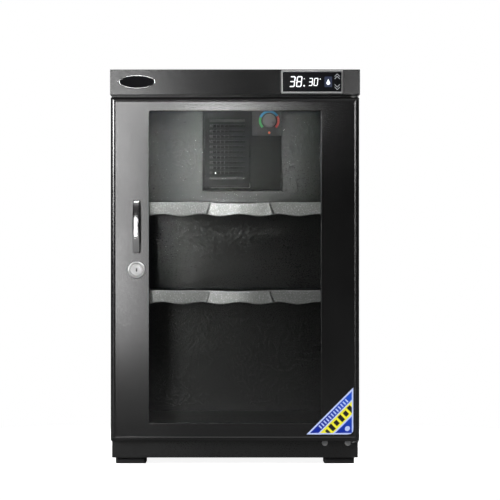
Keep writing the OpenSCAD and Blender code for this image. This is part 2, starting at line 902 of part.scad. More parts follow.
// A channel of rubber round the edge of the glass
module glass_seal() {
    color(rubber) difference() {
        pane(0, window_mid, glass_w + 2 * seal_edge_t, glass_h + 2 * seal_edge_t, seal_front, seal_back,
            window_r + seal_edge_t);
        pane(0, window_mid, glass_w, glass_h, glass_front, glass_back);
        pane(0, window_mid, window_w, window_h, seal_front - over, seal_back + over);
    }
}

// The magnetic gasket round the back of the door
module door_gasket() {
    color(rubber) ring_pane(0, door_mid, 2 * (door_x - gasket_inset), door_h - 2 * gasket_inset, gasket_w,
        gasket_front, gasket_back);
}

// A triangle in the door's lower right corner, with its square corner rounded
module corner_label() {
    right = door_x - label_gap_x;
    low = door_z + label_gap_z;
    corner = [for (i = [0 : label_arc_steps]) let (a = -90 + 90 * i / label_arc_steps)
        [right - label_r + label_r * cos(a), low + label_r + label_r * sin(a)]];
    color("#1f66c8") upright(panel_front - label_t, panel_front)
        polygon(concat([[right - label_side, low]], corner, [[right, low + label_side]]));
}

// Handle and lock

module handle_screw_places() {
    for (s = [-1, 1]) translate([lock_x, 0, handle_z + s * (handle_l - handle_foot_l) / 2]) children();
}

// A bow between two feet. Its front and the inside of its grip are arcs about one centre
module handle() {
    bow_y = handle_front + handle_bow_r;
    color(chrome) difference() {
        translate([lock_x - handle_w / 2, 0, handle_z]) rotate([90, 0, 90]) linear_extrude(handle_w)
            difference() {
            intersection() {
                translate([bow_y, 0]) circle(r = handle_bow_r, $fn = 180);
                translate([handle_front - over, -handle_l / 2])
                    square([panel_front - handle_front + over, handle_l]);
            }
            intersection() {
                translate([bow_y, 0]) circle(r = handle_bow_r - grip_t, $fn = 180);
                translate([handle_front, -handle_gap_l / 2]) square([handle_bow_r, handle_gap_l]);
            }
        }
        handle_screw_places()
            rod_y(0, 0, handle_screw_r + screw_gap, panel_front - handle_screw_in - over,
            panel_front + over);
    }
}

module handle_screws() {
    color(zinc) handle_screw_places()
        screw_from_back(0, 0, panel_front + skin_t, handle_screw_in, handle_screw_r, small_head_r,
            small_head_h);
}

// The lock's face and threaded barrel, bored for the plug
module lock_barrel() {
    color(chrome) difference() {
        union() {
            rod_y(lock_x, lock_z, lock_face_r, panel_front - lock_face_t, panel_front);
            rod_y(lock_x, lock_z, lock_barrel_r, panel_front, lock_back);
        }
        rod_y(lock_x, lock_z, plug_head_r + 2 * turn_gap, panel_front - lock_face_t - over,
            panel_front - lock_face_t + lock_face_recess);
        rod_y(lock_x, lock_z, plug_r + turn_gap, panel_front - lock_face_t - over, lock_back + over);
    }
}

module lock_nut() {
    color(zinc) difference() {
        rod_y(lock_x, lock_z, lock_nut_r, panel_front + skin_t, panel_front + skin_t + lock_nut_t);
        rod_y(lock_x, lock_z, lock_barrel_r + screw_gap, panel_front,
            panel_front + skin_t + lock_nut_t + over);
    }
}

// The plug with its keyway, and the post that carries the cam
module lock_plug() {
    front = panel_front - lock_face_t - plug_proud;
    color(chrome) difference() {
        union() {
            rod_y(lock_x, lock_z, plug_head_r, front,
                panel_front - lock_face_t + lock_face_recess - turn_gap);
            rod_y(lock_x, lock_z, plug_r, front, lock_back + turn_gap);
            rod_y(lock_x, lock_z, cam_post_r, lock_back, lock_back + turn_gap + cam_t);
        }
        span(lock_x - key_w / 2, lock_x + key_w / 2, front - over, front + key_d, lock_z - key_h / 2,
            lock_z + key_h / 2);
        rod_y(lock_x, lock_z, cam_screw_r + screw_gap, lock_back - cam_head_t, lock_back + cam_t + over);
    }
}

// The cam hangs down when the lock is open
module lock_cam() {
    y0 = lock_back + turn_gap;
    color(zinc) upright(y0, y0 + cam_t) translate([lock_x, lock_z]) difference() {
        union() {
            circle(d = cam_w + 2 * cam_t);
            translate([-cam_w / 2, -cam_reach]) square([cam_w, cam_reach]);
        }
        circle(r = cam_post_r + screw_gap);
    }
}

module cam_screw() {
    y0 = lock_back + turn_gap + cam_t;
    color(zinc) difference() {
        union() {
            rod_y(lock_x, lock_z, cam_head_r, y0, y0 + cam_head_t);
            rod_y(lock_x, lock_z, cam_screw_r, lock_back, y0 + over);
        }
        translate([0, 2 * y0 + 2 * cam_head_t, 0]) mirror([0, 1, 0])
            cross_recess(lock_x, lock_z, y0 + cam_head_t);
    }
}

// Trays

// An upturned pan: a deck with its four edges folded down
module tray_pan(deck_z) {
    color(black_steel) difference() {
        span(-tray_x, tray_x, tray_front_y + tray_front_t, tray_back_y, deck_z - tray_side_h, deck_z);
        span(tray_t - tray_x, tray_x - tray_t, tray_front_y + tray_front_t + tray_t, tray_back_y - tray_t,
            deck_z - tray_side_h - over, deck_z - tray_t);
    }
}

// The lower edge of the front runs in waves, from the left end to the right
function wave_z(x) = wave_h / 2 * cos(360 * (x - wave_shift) / wave_l);

module tray_front(deck_z) {
    edge = [for (i = [0 : wave_steps])
        let (x = tray_x * (1 - 2 * i / wave_steps)) [x, wave_z(x) - tray_front_h]];
    color(grey_steel) translate([0, 0, deck_z]) {
        upright(tray_front_y, tray_front_y + tray_front_t)
            polygon(concat([[-tray_x, 0], [tray_x, 0]], edge));
        upright(tray_front_y - pull_proud, tray_front_y) translate([wave_shift, 0]) polygon([
            [-pull_top_w / 2, 0], [pull_top_w / 2, 0],
            [pull_bottom_w / 2, -tray_front_h - pull_drop],
                [-pull_bottom_w / 2, -tray_front_h - pull_drop]]);
    }
}

module upper_tray() {
    tray_pan(upper_deck_z);
}
module upper_tray_front() {
    tray_front(upper_deck_z);
}
module lower_tray() {
    tray_pan(lower_deck_z);
}
module lower_tray_front() {
    tray_front(lower_deck_z);
}

// Runners: a riveted leg, a shelf under the tray's side, a guide beside it and a lip over it

module rivet_places(deck_z) {
    for (y = [runner_front_y + rivet_inset_y, runner_back_y - rivet_inset_y])
        translate([0, y, deck_z - tray_side_h - slide_gap - runner_t - runner_leg_h / 2]) children();
}

module left_runner(deck_z) {
    shelf_z = deck_z - tray_side_h - slide_gap;
    lip_z = deck_z + slide_gap;
    color(zinc) difference() {
        union() {
            span(-wall_x, runner_t - wall_x, runner_front_y, runner_back_y,
                shelf_z - runner_t - runner_leg_h, shelf_z);
            span(-wall_x, runner_shelf_w - runner_guide_x, runner_front_y, runner_back_y,
                shelf_z - runner_t, shelf_z);
            span(-runner_guide_x - runner_t, -runner_guide_x, runner_front_y, runner_back_y, shelf_z,
                lip_z + runner_t);
            span(-runner_guide_x, runner_lip_w - runner_guide_x, runner_front_y, runner_back_y, lip_z,
                lip_z + runner_t);
        }
        rivet_places(deck_z) rod_x(0, 0, rivet_r + screw_gap, -wall_x - over, runner_t - wall_x + over);
    }
}

module upper_left_runner() {
    left_runner(upper_deck_z);
}
module upper_right_runner() {
    mirror([1, 0, 0]) left_runner(upper_deck_z);
}
module lower_left_runner() {
    left_runner(lower_deck_z);
}
module lower_right_runner() {
    mirror([1, 0, 0]) left_runner(lower_deck_z);
}

module runner_rivets() {
    color(zinc) for (side = [0, 1], deck = [lower_deck_z, upper_deck_z]) mirror([side, 0, 0])
        rivet_places(deck) {
        rod_x(0, 0, rivet_r, -side_x, runner_t - wall_x + rivet_head_h / 2);
        rod_x(0, 0, rivet_head_r, runner_t - wall_x, runner_t - wall_x + rivet_head_h);
    }
}

// Drying unit

// A plastic box, open at the back, with a window for the louvred cover and a hole for the shaft
module unit_housing() {
    color(black_plastic) difference() {
        pane(unit_x, unit_low + unit_h / 2, unit_w, unit_h, unit_front, wall_front);
        pane(unit_x, unit_low + unit_h / 2, unit_w - 2 * unit_wall, unit_h - 2 * unit_wall,
            unit_front + unit_wall, wall_front + over);
        pane(cover_x, unit_low + unit_h / 2, cover_w + 2 * cover_gap, cover_h + 2 * cover_gap,
            unit_front - over, unit_front + unit_wall + over);
        rod_y(dial_x, dial_z, shaft_hole_r, unit_front - over, unit_front + unit_wall + over);
        rod_y(dial_x, lens_z, lens_r + screw_gap, unit_front - over, unit_front + unit_wall + over);
        rod_z(dial_x, unit_front + unit_d / 2, lead_hole_r, unit_top - unit_wall - over, unit_top + over);
    }
}

// Level slots from top to bottom of the grille
module unit_cover() {
    slots = floor((cover_h - 2 * slot_side) / slot_pitch);
    color(black_plastic) difference() {
        pane(cover_x, unit_low + unit_h / 2, cover_w, cover_h, unit_front, unit_front + cover_t);
        for (i = [0 : slots - 1])
            pane(cover_x, unit_low + unit_h / 2 + (i - (slots - 1) / 2) * slot_pitch,
            cover_w - 2 * slot_side, slot_h, unit_front - over, unit_front + cover_t + over, slot_h / 4);
    }
}

module control_plate() {
    color("#5a5b5d") difference() {
        pane(plate_x, plate_low + plate_h / 2, plate_w, plate_h, unit_front - plate_t, unit_front);
        rod_y(dial_x, dial_z, shaft_hole_r, unit_front - plate_t - over, unit_front + over);
        rod_y(dial_x, lens_z, lens_r + screw_gap, unit_front - plate_t - over, unit_front + over);
    }
}

// The coloured scale, a ring with a gap at its foot
module dial_ring() {
    foot = 2 * ring_r;
    front = unit_front - plate_t - ring_t;
    color("#2f8fd0") translate([dial_x, 0, dial_z]) upright(front, front + ring_t) difference() {
        circle(r = ring_r);
        circle(r = ring_r - ring_w);
        polygon([[0, 0], [-foot, -foot], [foot, -foot]]);
    }
}

module indicator_lens() {
    color("#d42020") rod_y(dial_x, lens_z, lens_r, unit_front - plate_t - lens_proud,
        unit_front + unit_wall);
}

module potentiometer() {
    y0 = unit_front + unit_wall;
    color("#3b6e4a") difference() {
        rod_y(dial_x, dial_z, pot_r, y0, y0 + pot_d);
        rod_y(dial_x, dial_z, shaft_r + turn_gap, y0 - over, y0 + pot_d - unit_wall);
    }
}

knob_back = unit_front - plate_t - knob_gap;
knob_front = knob_back - knob_l;

module dial_shaft() {
    color(zinc) rod_y(dial_x, dial_z, shaft_r, knob_front + knob_cap_t,
        unit_front + unit_wall + pot_d / 2);
}

module humidity_knob() {
    color("#26272a") difference() {
        rod_y(dial_x, dial_z, knob_r, knob_front, knob_back);
        rod_y(dial_x, dial_z, shaft_r + screw_gap, knob_front + knob_cap_t - screw_gap, knob_back + over);
        rod_y(dial_x + dimple_at * cos(dimple_turn), dial_z + dimple_at * sin(dimple_turn), dimple_r,
            knob_front - over,
            knob_front + dimple_d);
    }
}

// A heat sink: a base plate from y0 to y1 and upright fins from there to fin_y
module heat_sink(y0, y1, fin_y) {
    pitch = (sink_w - fin_t) / (sink_fins - 1);
    difference() {
        union() {
            span(sink_x - sink_w / 2, sink_x + sink_w / 2, y0, y1, sink_z - sink_h / 2,
                sink_z + sink_h / 2);
            for (i = [0 : sink_fins - 1]) {
                x = sink_x - sink_w / 2 + i * pitch;
                span(x, x + fin_t, min(y0, fin_y), max(y1, fin_y), sink_z - sink_h / 2,
                    sink_z + sink_h / 2);
            }
        }
        sink_screw_places() rod_y(0, 0, sink_screw_head_r + screw_gap, y1, max(y1, fin_y) + over);
        sink_screw_places() rod_y(0, 0, sink_screw_r + screw_gap, y0 - over, y1 + over);
    }
}

module sink_screw_places() {
    for (sx = [-1, 1], sz = [-1, 1])
        translate([sink_x + sx * sink_screw_x, 0, sink_z + sz * sink_screw_z]) children();
}

module cold_sink() {
    color(zinc) heat_sink(cold_base_front, cold_base_back, cold_base_front - cold_fin_d);
}

module peltier_module() {
    color("#e9e9e6") pane(sink_x, sink_z, module_w, module_w, cold_base_back, casing_back, screw_gap);
}

module hot_sink() {
    color(zinc) heat_sink(casing_back, casing_back + sink_base_t, casing_back + sink_base_t + hot_fin_d);
}

// Screws that draw the two heat sinks together through the back wall
module sink_screws() {
    head = casing_back + sink_base_t;
    color(chrome) sink_screw_places()
        screw_from_back(0, 0, head, sink_base_t + module_t + sink_base_t - over, sink_screw_r,
            sink_screw_head_r, small_head_h);
}

// An open tray under the inner heat sink, on the floor of the housing
module drip_tray() {
    low = unit_low + unit_wall;
    back = wall_front;
    color("#d9dcdf") difference() {
        span(sink_x - drip_w / 2, sink_x + drip_w / 2, back - drip_d, back, low, low + drip_h);
        span(sink_x - drip_w / 2 + drip_wall, sink_x + drip_w / 2 - drip_wall, back - drip_d + drip_wall,
            back - drip_wall, low + drip_wall, low + drip_h + over);
    }
}

module rear_screw_places() {
    for (sx = [-1, 1], sz = [-1, 1])
        translate([sink_x + sx * (rear_cover_w + rear_tab_w) / 2, 0, sink_z + sz * rear_screw_z])
            children();
}

// A folded box over the outer heat sink, with two rows of upright vents and screw tabs
module rear_cover() {
    x0 = sink_x - rear_cover_w / 2;
    x1 = sink_x + rear_cover_w / 2;
    z0 = sink_z - rear_cover_h / 2;
    z1 = sink_z + rear_cover_h / 2;
    vents = floor((rear_cover_w - 2 * vent_pitch) / vent_pitch);
    color(black_steel) difference() {
        union() {
            span(x0, x1, casing_back, rear_cover_back, z0, z1);
            span(x0 - rear_tab_w, x1 + rear_tab_w, casing_back, casing_back + sheet_t, z0, z1);
        }
        span(x0 + sheet_t, x1 - sheet_t, casing_back - over, rear_cover_back - sheet_t, z0 + sheet_t,
            z1 - sheet_t);
        for (i = [0 : vents - 1], s = [-1, 1])
            pane(sink_x + (i - (vents - 1) / 2) * vent_pitch, sink_z + s * (vent_h + vent_gap) / 2,
                vent_w, vent_h,
                rear_cover_back - sheet_t - over, rear_cover_back + over, vent_w / 4);
        rear_screw_places() rod_y(0, 0, screw_r + screw_gap, casing_back - over,
            casing_back + sheet_t + over);
    }
}

module rear_cover_screws() {
    color(zinc) rear_screw_places()
        screw_from_back(0, 0, casing_back + sheet_t, 2 * sheet_t, screw_r, small_head_r, small_head_h);
}

left_side_panel();
right_side_panel();
floor_panel();
ceiling_panel();
back_panel();
header_cover();
header_screws();
badge_rim();
badge_plate();
display_bezel();
display_window();
digit_modules();
display_board();
power_supply();
power_inlet();
wiring();
feet();
foot_screws();
lower_hinge_bracket();
upper_hinge_bracket();
hinge_pins();
hinge_screws();
upper_left_runner();
upper_right_runner();
lower_left_runner();
lower_right_runner();
runner_rivets();
unit_housing();
unit_cover();
control_plate();
dial_ring();
indicator_lens();
potentiometer();
cold_sink();
peltier_module();
hot_sink();
sink_screws();
drip_tray();
rear_cover();
rear_cover_screws();
door_skin();
door_liner();
window_glass();
glass_seal();
door_gasket();
hinge_bushes();
handle();
handle_screws();
lock_barrel();
lock_nut();
corner_label();
lock_plug();
lock_cam();
cam_screw();
dial_shaft();
humidity_knob();
upper_tray();
upper_tray_front();
lower_tray();
lower_tray_front();
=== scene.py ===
import json
import math
import bmesh
import bpy
import numpy as np
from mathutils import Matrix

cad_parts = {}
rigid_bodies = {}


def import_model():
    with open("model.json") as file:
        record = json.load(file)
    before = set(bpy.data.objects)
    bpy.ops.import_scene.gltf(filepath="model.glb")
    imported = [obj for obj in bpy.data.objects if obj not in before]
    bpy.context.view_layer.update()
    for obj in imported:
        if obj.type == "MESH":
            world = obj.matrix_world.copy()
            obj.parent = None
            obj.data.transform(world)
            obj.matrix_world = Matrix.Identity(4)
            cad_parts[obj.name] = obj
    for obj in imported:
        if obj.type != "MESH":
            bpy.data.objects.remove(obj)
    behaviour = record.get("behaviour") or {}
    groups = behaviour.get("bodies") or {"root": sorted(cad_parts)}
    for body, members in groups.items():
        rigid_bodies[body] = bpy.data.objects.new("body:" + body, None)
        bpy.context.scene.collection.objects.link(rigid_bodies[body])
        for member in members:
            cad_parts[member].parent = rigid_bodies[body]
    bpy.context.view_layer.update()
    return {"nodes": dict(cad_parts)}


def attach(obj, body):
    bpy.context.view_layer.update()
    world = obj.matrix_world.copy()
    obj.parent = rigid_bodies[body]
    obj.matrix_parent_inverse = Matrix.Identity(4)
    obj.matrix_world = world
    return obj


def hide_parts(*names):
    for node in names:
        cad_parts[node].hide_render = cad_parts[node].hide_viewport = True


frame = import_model()
print("frame loaded,", len(frame["nodes"]), "nodes")

# every length below is in millimetres, and scale turns it into metres
scale = 0.001

# the camera stands at the height of the picture's horizon, square to the door
camera = {"place": (0.0, -4.18, 0.3185), "lens": 180.0, "sensor": 36.0, "shift": (0.03, 0.032)}


def placeCamera(values):
    # looks level along +Y, and the shift moves the picture without turning the camera
    data = bpy.data.cameras.new("camera")
    data.lens = values["lens"]
    data.sensor_width = values["sensor"]
    data.shift_x = values["shift"][0]
    data.shift_y = values["shift"][1]
    made = bpy.data.objects.new("camera", data)
    made.location = values["place"]
    made.rotation_euler = (math.pi / 2, 0.0, 0.0)
    bpy.context.scene.collection.objects.link(made)
    bpy.context.scene.camera = made


placeCamera(camera)
bpy.context.scene.view_settings.view_transform = "Standard"
print("camera placed")


# shader trees

class Wire:
    # one output of a shader node; a sum on it adds a Math node to the same tree
    def __init__(self, finish, socket):
        self.finish = finish
        self.socket = socket

    def maths(self, operation, *others):
        values = {0: self}
        values.update({place + 1: other for place, other in enumerate(others)})
        return self.finish.node("ShaderNodeMath", {"operation": operation}, values)

    def __add__(self, other):
        return self.maths("ADD", other)

    def __sub__(self, other):
        return self.maths("SUBTRACT", other)

    def __mul__(self, other):
        return self.maths("MULTIPLY", other)

    def __truediv__(self, other):
        return self.maths("DIVIDE", other)

    def __rsub__(self, other):
        return self.finish.node("ShaderNodeMath", {"operation": "SUBTRACT"}, {0: other, 1: self})

    __radd__ = __add__
    __rmul__ = __mul__

    def rise(self, low, high):
        # 0 below low, 1 above high, and a smooth step between them
        return self.finish.node("ShaderNodeMapRange", {"interpolation_type": "SMOOTHSTEP"},
                                {0: self, 1: low, 2: high, 3: 0.0, 4: 1.0})

    def band(self, low, high, soft):
        # 1 between low and high, 0 outside
        return self.rise(low - soft, low + soft) * (1 - self.rise(high - soft, high + soft))


class Finish:
    # one material: its tree, its object coordinates and the calls that add nodes to it
    def __init__(self, name):
        self.material = bpy.data.materials.new(name)
        self.material.use_nodes = True
        self.tree = self.material.node_tree
        self.tree.nodes.clear()
        self.end = self.tree.nodes.new("ShaderNodeOutputMaterial")
        self.place = self.node("ShaderNodeTexCoord", out="Object")

    def node(self, kind, settings=None, values=None, out=0):
        made = self.tree.nodes.new(kind)
        for name, value in (settings or {}).items():
            setattr(made, name, value)
        for name, value in (values or {}).items():
            if isinstance(value, Wire):
                self.tree.links.new(value.socket, made.inputs[name])
            else:
                made.inputs[name].default_value = value
        return Wire(self, made.outputs[out])

    def axis(self, letter):
        return self.node("ShaderNodeSeparateXYZ", None, {0: self.place}, letter)

    def stretched(self, factors):
        return self.node("ShaderNodeVectorMath", {"operation": "MULTIPLY"}, {0: self.place, 1: factors})

    def noise(self, perMetre, detail=2.0, factors=None):
        where = self.stretched(factors) if factors else self.place
        return self.node("ShaderNodeTexNoise", None, {"Vector": where, "Scale": perMetre, "Detail": detail})

    def mix(self, factor, first, second):
        return self.node("ShaderNodeMix", {"data_type": "RGBA"}, {0: factor, 6: first, 7: second}, 2)

    def bump(self, height, depth, strength=1.0):
        values = {"Height": height, "Distance": depth, "Strength": strength}
        return self.node("ShaderNodeBump", None, values)

    def show(self, shader):
        self.tree.links.new(shader.socket, self.end.inputs["Surface"])
        return self.material

    def surface(self, values):
        return self.show(self.node("ShaderNodeBsdfPrincipled", None, values))


def grey(value, tint=(1.0, 1.0, 1.0)):
    return (value * tint[0], value * tint[1], value * tint[2], 1.0)


# how many clouds a metre has, the orange peel's scale as a share of the grain's, where the grain's
# crests begin and are full, and how far clouds and crests change the roughness
coat = {"clouds": 9.0, "peelShare": 0.22, "crest": (0.52, 0.74), "cloudRough": 0.1, "crestRough": 0.05}


def paint(name, base, fleck, rough, grain, depth, shine=0.5, flake=0.0):
    # powder coat: orange peel and fine grain in the bump, lighter flecks on the crests of the grain
    made = Finish(name)
    fine = made.noise(grain, 1.0)
    broad = made.noise(coat["clouds"], 2.0)
    peel = made.noise(grain * coat["peelShare"], 1.0)
    crest = fine.rise(*coat["crest"])
    colour = made.mix(crest * (0.4 + broad), grey(base), grey(fleck))
    level = rough - coat["cloudRough"] / 2
    return made.surface({
        "Base Color": colour,
        "Roughness": level + broad * coat["cloudRough"] - crest * coat["crestRough"],
        "Specular IOR Level": shine,
        "Metallic": flake,
        "Normal": made.bump(fine * 0.7 + peel * 0.8, depth),
    })


def metal(name, base, rough, streaks, perMetre, depth=0.00001, tint=(1.0, 1.0, 1.0)):
    # bare or plated metal: streaks drawn out along one way, clouded by a broad noise
    made = Finish(name)
    line = made.noise(perMetre, 3.0, streaks)
    cloud = made.noise(25.0, 2.0)
    colour = made.mix(cloud.rise(0.35, 0.7), grey(base, tint), grey(base * 0.86, tint))
    return made.surface({
        "Base Color": colour,
        "Metallic": 1.0,
        "Roughness": rough * 0.8 + cloud * rough * 0.25 + line * rough * 0.2,
        "Normal": made.bump(line, depth),
    })


def plastic(name, base, rough, perMetre, depth, change=0.15, shine=0.5):
    # moulded plastic or rubber: an etched grain and a slight change of colour
    made = Finish(name)
    grain = made.noise(perMetre, 1.0)
    cloud = made.noise(30.0, 2.0)
    darker = tuple(channel * (1 - change) for channel in base[:3]) + (1.0,)
    colour = made.mix(cloud * 0.7 + grain * 0.3, base, darker)
    return made.surface({
        "Base Color": colour,
        "Roughness": rough - 0.04 + cloud * 0.08,
        "Specular IOR Level": shine,
        "Normal": made.bump(grain, depth),
    })


# the dial's scale: green, blue and red round the knob, as angles from twelve o'clock
dial = {
    "centre": (59.05, 569.4), "soft": 0.006,
    "greenFrom": -0.375, "blueFrom": -0.19, "redFrom": 0.167, "redTo": 0.397,
    "plate": (0.22, 0.22, 0.23, 1.0), "green": (0.12, 0.62, 0.22, 1.0), "blue": (0.12, 0.5, 0.9, 1.0),
    "red": (0.9, 0.12, 0.1, 1.0), "rough": 0.4,
}


def dialPrint(values):
    # the turn is the angle clockwise from twelve o'clock over a full turn, from -0.5 to 0.5
    made = Finish("dialPrint")
    across = made.axis("X") - values["centre"][0] * scale
    up = made.axis("Z") - values["centre"][1] * scale
    turn = across.maths("ARCTAN2", up) / (2 * math.pi)
    soft = values["soft"]
    colour = values["plate"]
    for start, end, ink in (("greenFrom", "blueFrom", "green"), ("blueFrom", "redFrom", "blue"),
                            ("redFrom", "redTo", "red")):
        colour = made.mix(turn.band(values[start], values[end], soft), colour, values[ink])
    return made.surface({
        "Base Color": colour,
        "Roughness": made.noise(700.0, 1.0) * 0.1 + values["rough"],
    })


# the corner label: bands at distances from its long side, and plain marks in them
label = {
    "corner": (189.3, 48.9), "side": 75.0, "rim": 2.3, "soft": 0.18,
    "upperBlue": (2.4, 11.9), "yellow": (13.7, 28.5), "lowerBlue": 31.0,
    "fade": (30.0, 95.0), "barPitch": 10.5, "barShare": 0.32, "barFrom": 25.0, "barTo": 84.0,
    "barMid": 21.1, "barHalf": 5.6, "barStep": 1.6, "tickPitch": 5.4, "tickShares": (0.3, 0.7),
    "tickFrom": 21.6, "tickTo": 86.4, "tickMid": 7.3, "tickHalf": 3.1,
    "dropAlong": 53.0, "dropDeep": 39.0, "dropRadius": 4.6, "dropTip": 0.45,
    "white": (0.55, 0.64, 0.97, 1.0), "blue": (0.001, 0.02, 0.34, 1.0), "bright": (0.008, 0.08, 0.6, 1.0),
    "yellowInk": (0.93, 0.86, 0.04, 1.0), "black": (0.01, 0.01, 0.012, 1.0), "rough": 0.28,
}


def labelPrint(values):
    # deep is the distance from the long side, along runs with it from its lower end
    made = Finish("labelPrint")
    across = (made.axis("X") - (values["corner"][0] - values["side"]) * scale) / scale
    up = (made.axis("Z") - values["corner"][1] * scale) / scale
    soft = values["soft"]
    half = math.sqrt(0.5)
    deep = (across - up) * half
    along = (across + up) * half
    inside = deep.rise(values["rim"] - soft, values["rim"] + soft)
    inside = inside * up.rise(values["rim"] - soft, values["rim"] + soft)
    far = values["side"] - values["rim"]
    inside = inside * (1 - across.rise(far - soft, far + soft))
    blue = made.mix(along.rise(*values["fade"]), values["blue"], values["bright"])
    upper = deep.band(values["upperBlue"][0], values["upperBlue"][1], soft)
    yellow = deep.band(values["yellow"][0], values["yellow"][1], soft)
    lower = deep.rise(values["lowerBlue"] - soft, values["lowerBlue"] + soft)
    colour = made.mix(upper * inside, values["white"], blue)
    colour = made.mix(lower * inside, colour, blue)
    colour = made.mix(yellow * inside, colour, values["yellowInk"])
    step = (along / values["barPitch"]).maths("FRACT")
    # every other bar is longer by a step at both ends
    odd = (along / values["barPitch"]).maths("FLOOR").maths("MODULO", 2.0)
    height = odd * values["barStep"] + (values["barHalf"] - values["barStep"])
    aside = (deep - values["barMid"]).maths("ABSOLUTE")
    bars = step.band(0.5 - values["barShare"], 0.5 + values["barShare"], 0.03)
    bars = bars * (height - aside).rise(-soft, soft)
    bars = bars * along.band(values["barFrom"], values["barTo"], soft) * inside
    colour = made.mix(bars, colour, values["black"])
    tick = (along / values["tickPitch"]).maths("FRACT").band(*values["tickShares"], 0.06)
    tickLow = values["tickMid"] - values["tickHalf"]
    tickHigh = values["tickMid"] + values["tickHalf"]
    tick = tick * deep.band(tickLow, tickHigh, soft)
    tick = tick * along.band(values["tickFrom"], values["tickTo"], soft)
    colour = made.mix(tick, colour, values["white"])
    aside = along - values["dropAlong"]
    down = deep - values["dropDeep"]
    # a drop is a disc whose half width shrinks towards its tip
    shape = (aside * aside + down * down).maths("SQRT")
    shape = shape + (0.0 - down).maths("MAXIMUM", 0.0) * values["dropTip"]
    outside = shape.rise(values["dropRadius"] - 0.3, values["dropRadius"])
    colour = made.mix(1 - outside, colour, values["white"])
    return made.surface({
        "Base Color": colour,
        "Roughness": made.noise(400.0, 1.0) * 0.08 + values["rough"],
        "Coat Weight": 0.08,
    })


def circuitBoard(name):
    # solder resist over copper tracks that show as slightly raised, lighter lines
    made = Finish(name)
    track = made.noise(260.0, 0.0, (1.0, 1.0, 4.0)).band(0.47, 0.53, 0.01)
    colour = made.mix(track, (0.01, 0.09, 0.04, 1.0), (0.03, 0.2, 0.08, 1.0))
    return made.surface({
        "Base Color": colour,
        "Roughness": 0.35 + made.noise(60.0) * 0.1,
        "Normal": made.bump(track, 0.00003),
    })


def windowGlass(name, tint, rough):
    # clear float glass: what is behind it shows through, and its gloss grows towards a grazing view
    made = Finish(name)
    smudge = made.noise(7.0, 3.0)
    through = made.node("ShaderNodeBsdfTransparent", None, {"Color": tint})
    gloss = made.node("ShaderNodeBsdfGlossy", None, {
        "Color": (1.0, 1.0, 1.0, 1.0), "Roughness": smudge * 0.03 + rough,
    })
    share = made.node("ShaderNodeFresnel", None, {"IOR": 1.45}) * 0.85
    return made.show(made.node("ShaderNodeMixShader", None, {0: share, 1: through, 2: gloss}))


def glowing(name, base, glow, strength, rough=0.3):
    # a lit surface whose glow is a fifth weaker where the noise is high
    made = Finish(name)
    cloud = made.noise(160.0, 1.0)
    weaker = tuple(part * 0.8 for part in glow[:3]) + (1.0,)
    return made.surface({
        "Base Color": base,
        "Emission Color": made.mix(cloud.rise(0.3, 0.9), glow, weaker),
        "Emission Strength": strength,
        "Roughness": cloud * 0.1 + rough,
    })


along = {"x": (0.05, 1.0, 1.0), "y": (1.0, 0.05, 1.0), "z": (1.0, 1.0, 0.05)}
finishes = {
    "casing_paint": paint("casingPaint", 0.004, 0.014, 0.3, 820.0, 0.00003, 0.9),
    "header_paint": paint("headerPaint", 0.003, 0.02, 0.22, 480.0, 0.0001, 1.0),
    "door_paint": paint("doorPaint", 0.002, 0.011, 0.2, 480.0, 0.00002, 1.0),
    "liner_paint": paint("linerPaint", 0.01, 0.02, 0.45, 900.0, 0.00004),
    "tray_paint": paint("trayPaint", 0.03, 0.08, 0.42, 820.0, 0.00006),
    "tray_trim": paint("trayTrim", 0.27, 0.5, 0.34, 520.0, 0.00008, 0.8, 0.85),
    "plate_grey": paint("plateGrey", 0.09, 0.13, 0.45, 900.0, 0.00004),
    "zinc_steel": metal("zincSteel", 0.6, 0.4, along["z"], 500.0, 0.00002, (0.98, 0.99, 1.0)),
    "chrome_trim": metal("chromeTrim", 0.84, 0.12, along["z"], 300.0, 0.000004),
    "handle_chrome": metal("handleChrome", 0.84, 0.18, along["z"], 300.0, 0.000004),
    "satin_lock": metal("satinLock", 0.7, 0.42, along["x"], 420.0, 0.00001),
    "satin_bezel": metal("satinBezel", 0.62, 0.36, along["x"], 420.0, 0.00001),
    "badge_enamel": plastic("badgeEnamel", (0.004, 0.004, 0.005, 1.0), 0.5, 500.0, 0.00002, 0.15, 0.05),
    "sink_aluminium": metal("sinkAluminium", 0.72, 0.34, along["z"], 700.0, 0.00002),
    "black_plastic": plastic("blackPlastic", (0.016, 0.016, 0.017, 1.0), 0.45, 900.0, 0.00003),
    "gloss_black": plastic("glossBlack", (0.004, 0.004, 0.005, 1.0), 0.14, 300.0, 0.000003, 0.15, 0.3),
    "white_plastic": plastic("whitePlastic", (0.6, 0.6, 0.58, 1.0), 0.42, 700.0, 0.00002),
    "wire_sleeve": plastic("wireSleeve", (0.02, 0.02, 0.022, 1.0), 0.5, 500.0, 0.00003),
    "foot_rubber": plastic("footRubber", (0.018, 0.018, 0.019, 1.0), 0.62, 900.0, 0.00006),
    "seal_rubber": plastic("sealRubber", (0.01, 0.01, 0.011, 1.0), 0.55, 900.0, 0.00003),
    "knob_plastic": plastic("knobPlastic", (0.3, 0.3, 0.31, 1.0), 0.38, 800.0, 0.00003),
    "circuit_board": circuitBoard("circuitBoard"),
    "dial_print": dialPrint(dial),
    "label_film": labelPrint(label),
    "lamp_red": glowing("lampLens", (0.5, 0.1, 0.06, 1.0), (1.0, 0.25, 0.12, 1.0), 0.6),
    "window_glass": windowGlass("windowGlass", (0.94, 0.945, 0.938, 1.0), 0.015),
}
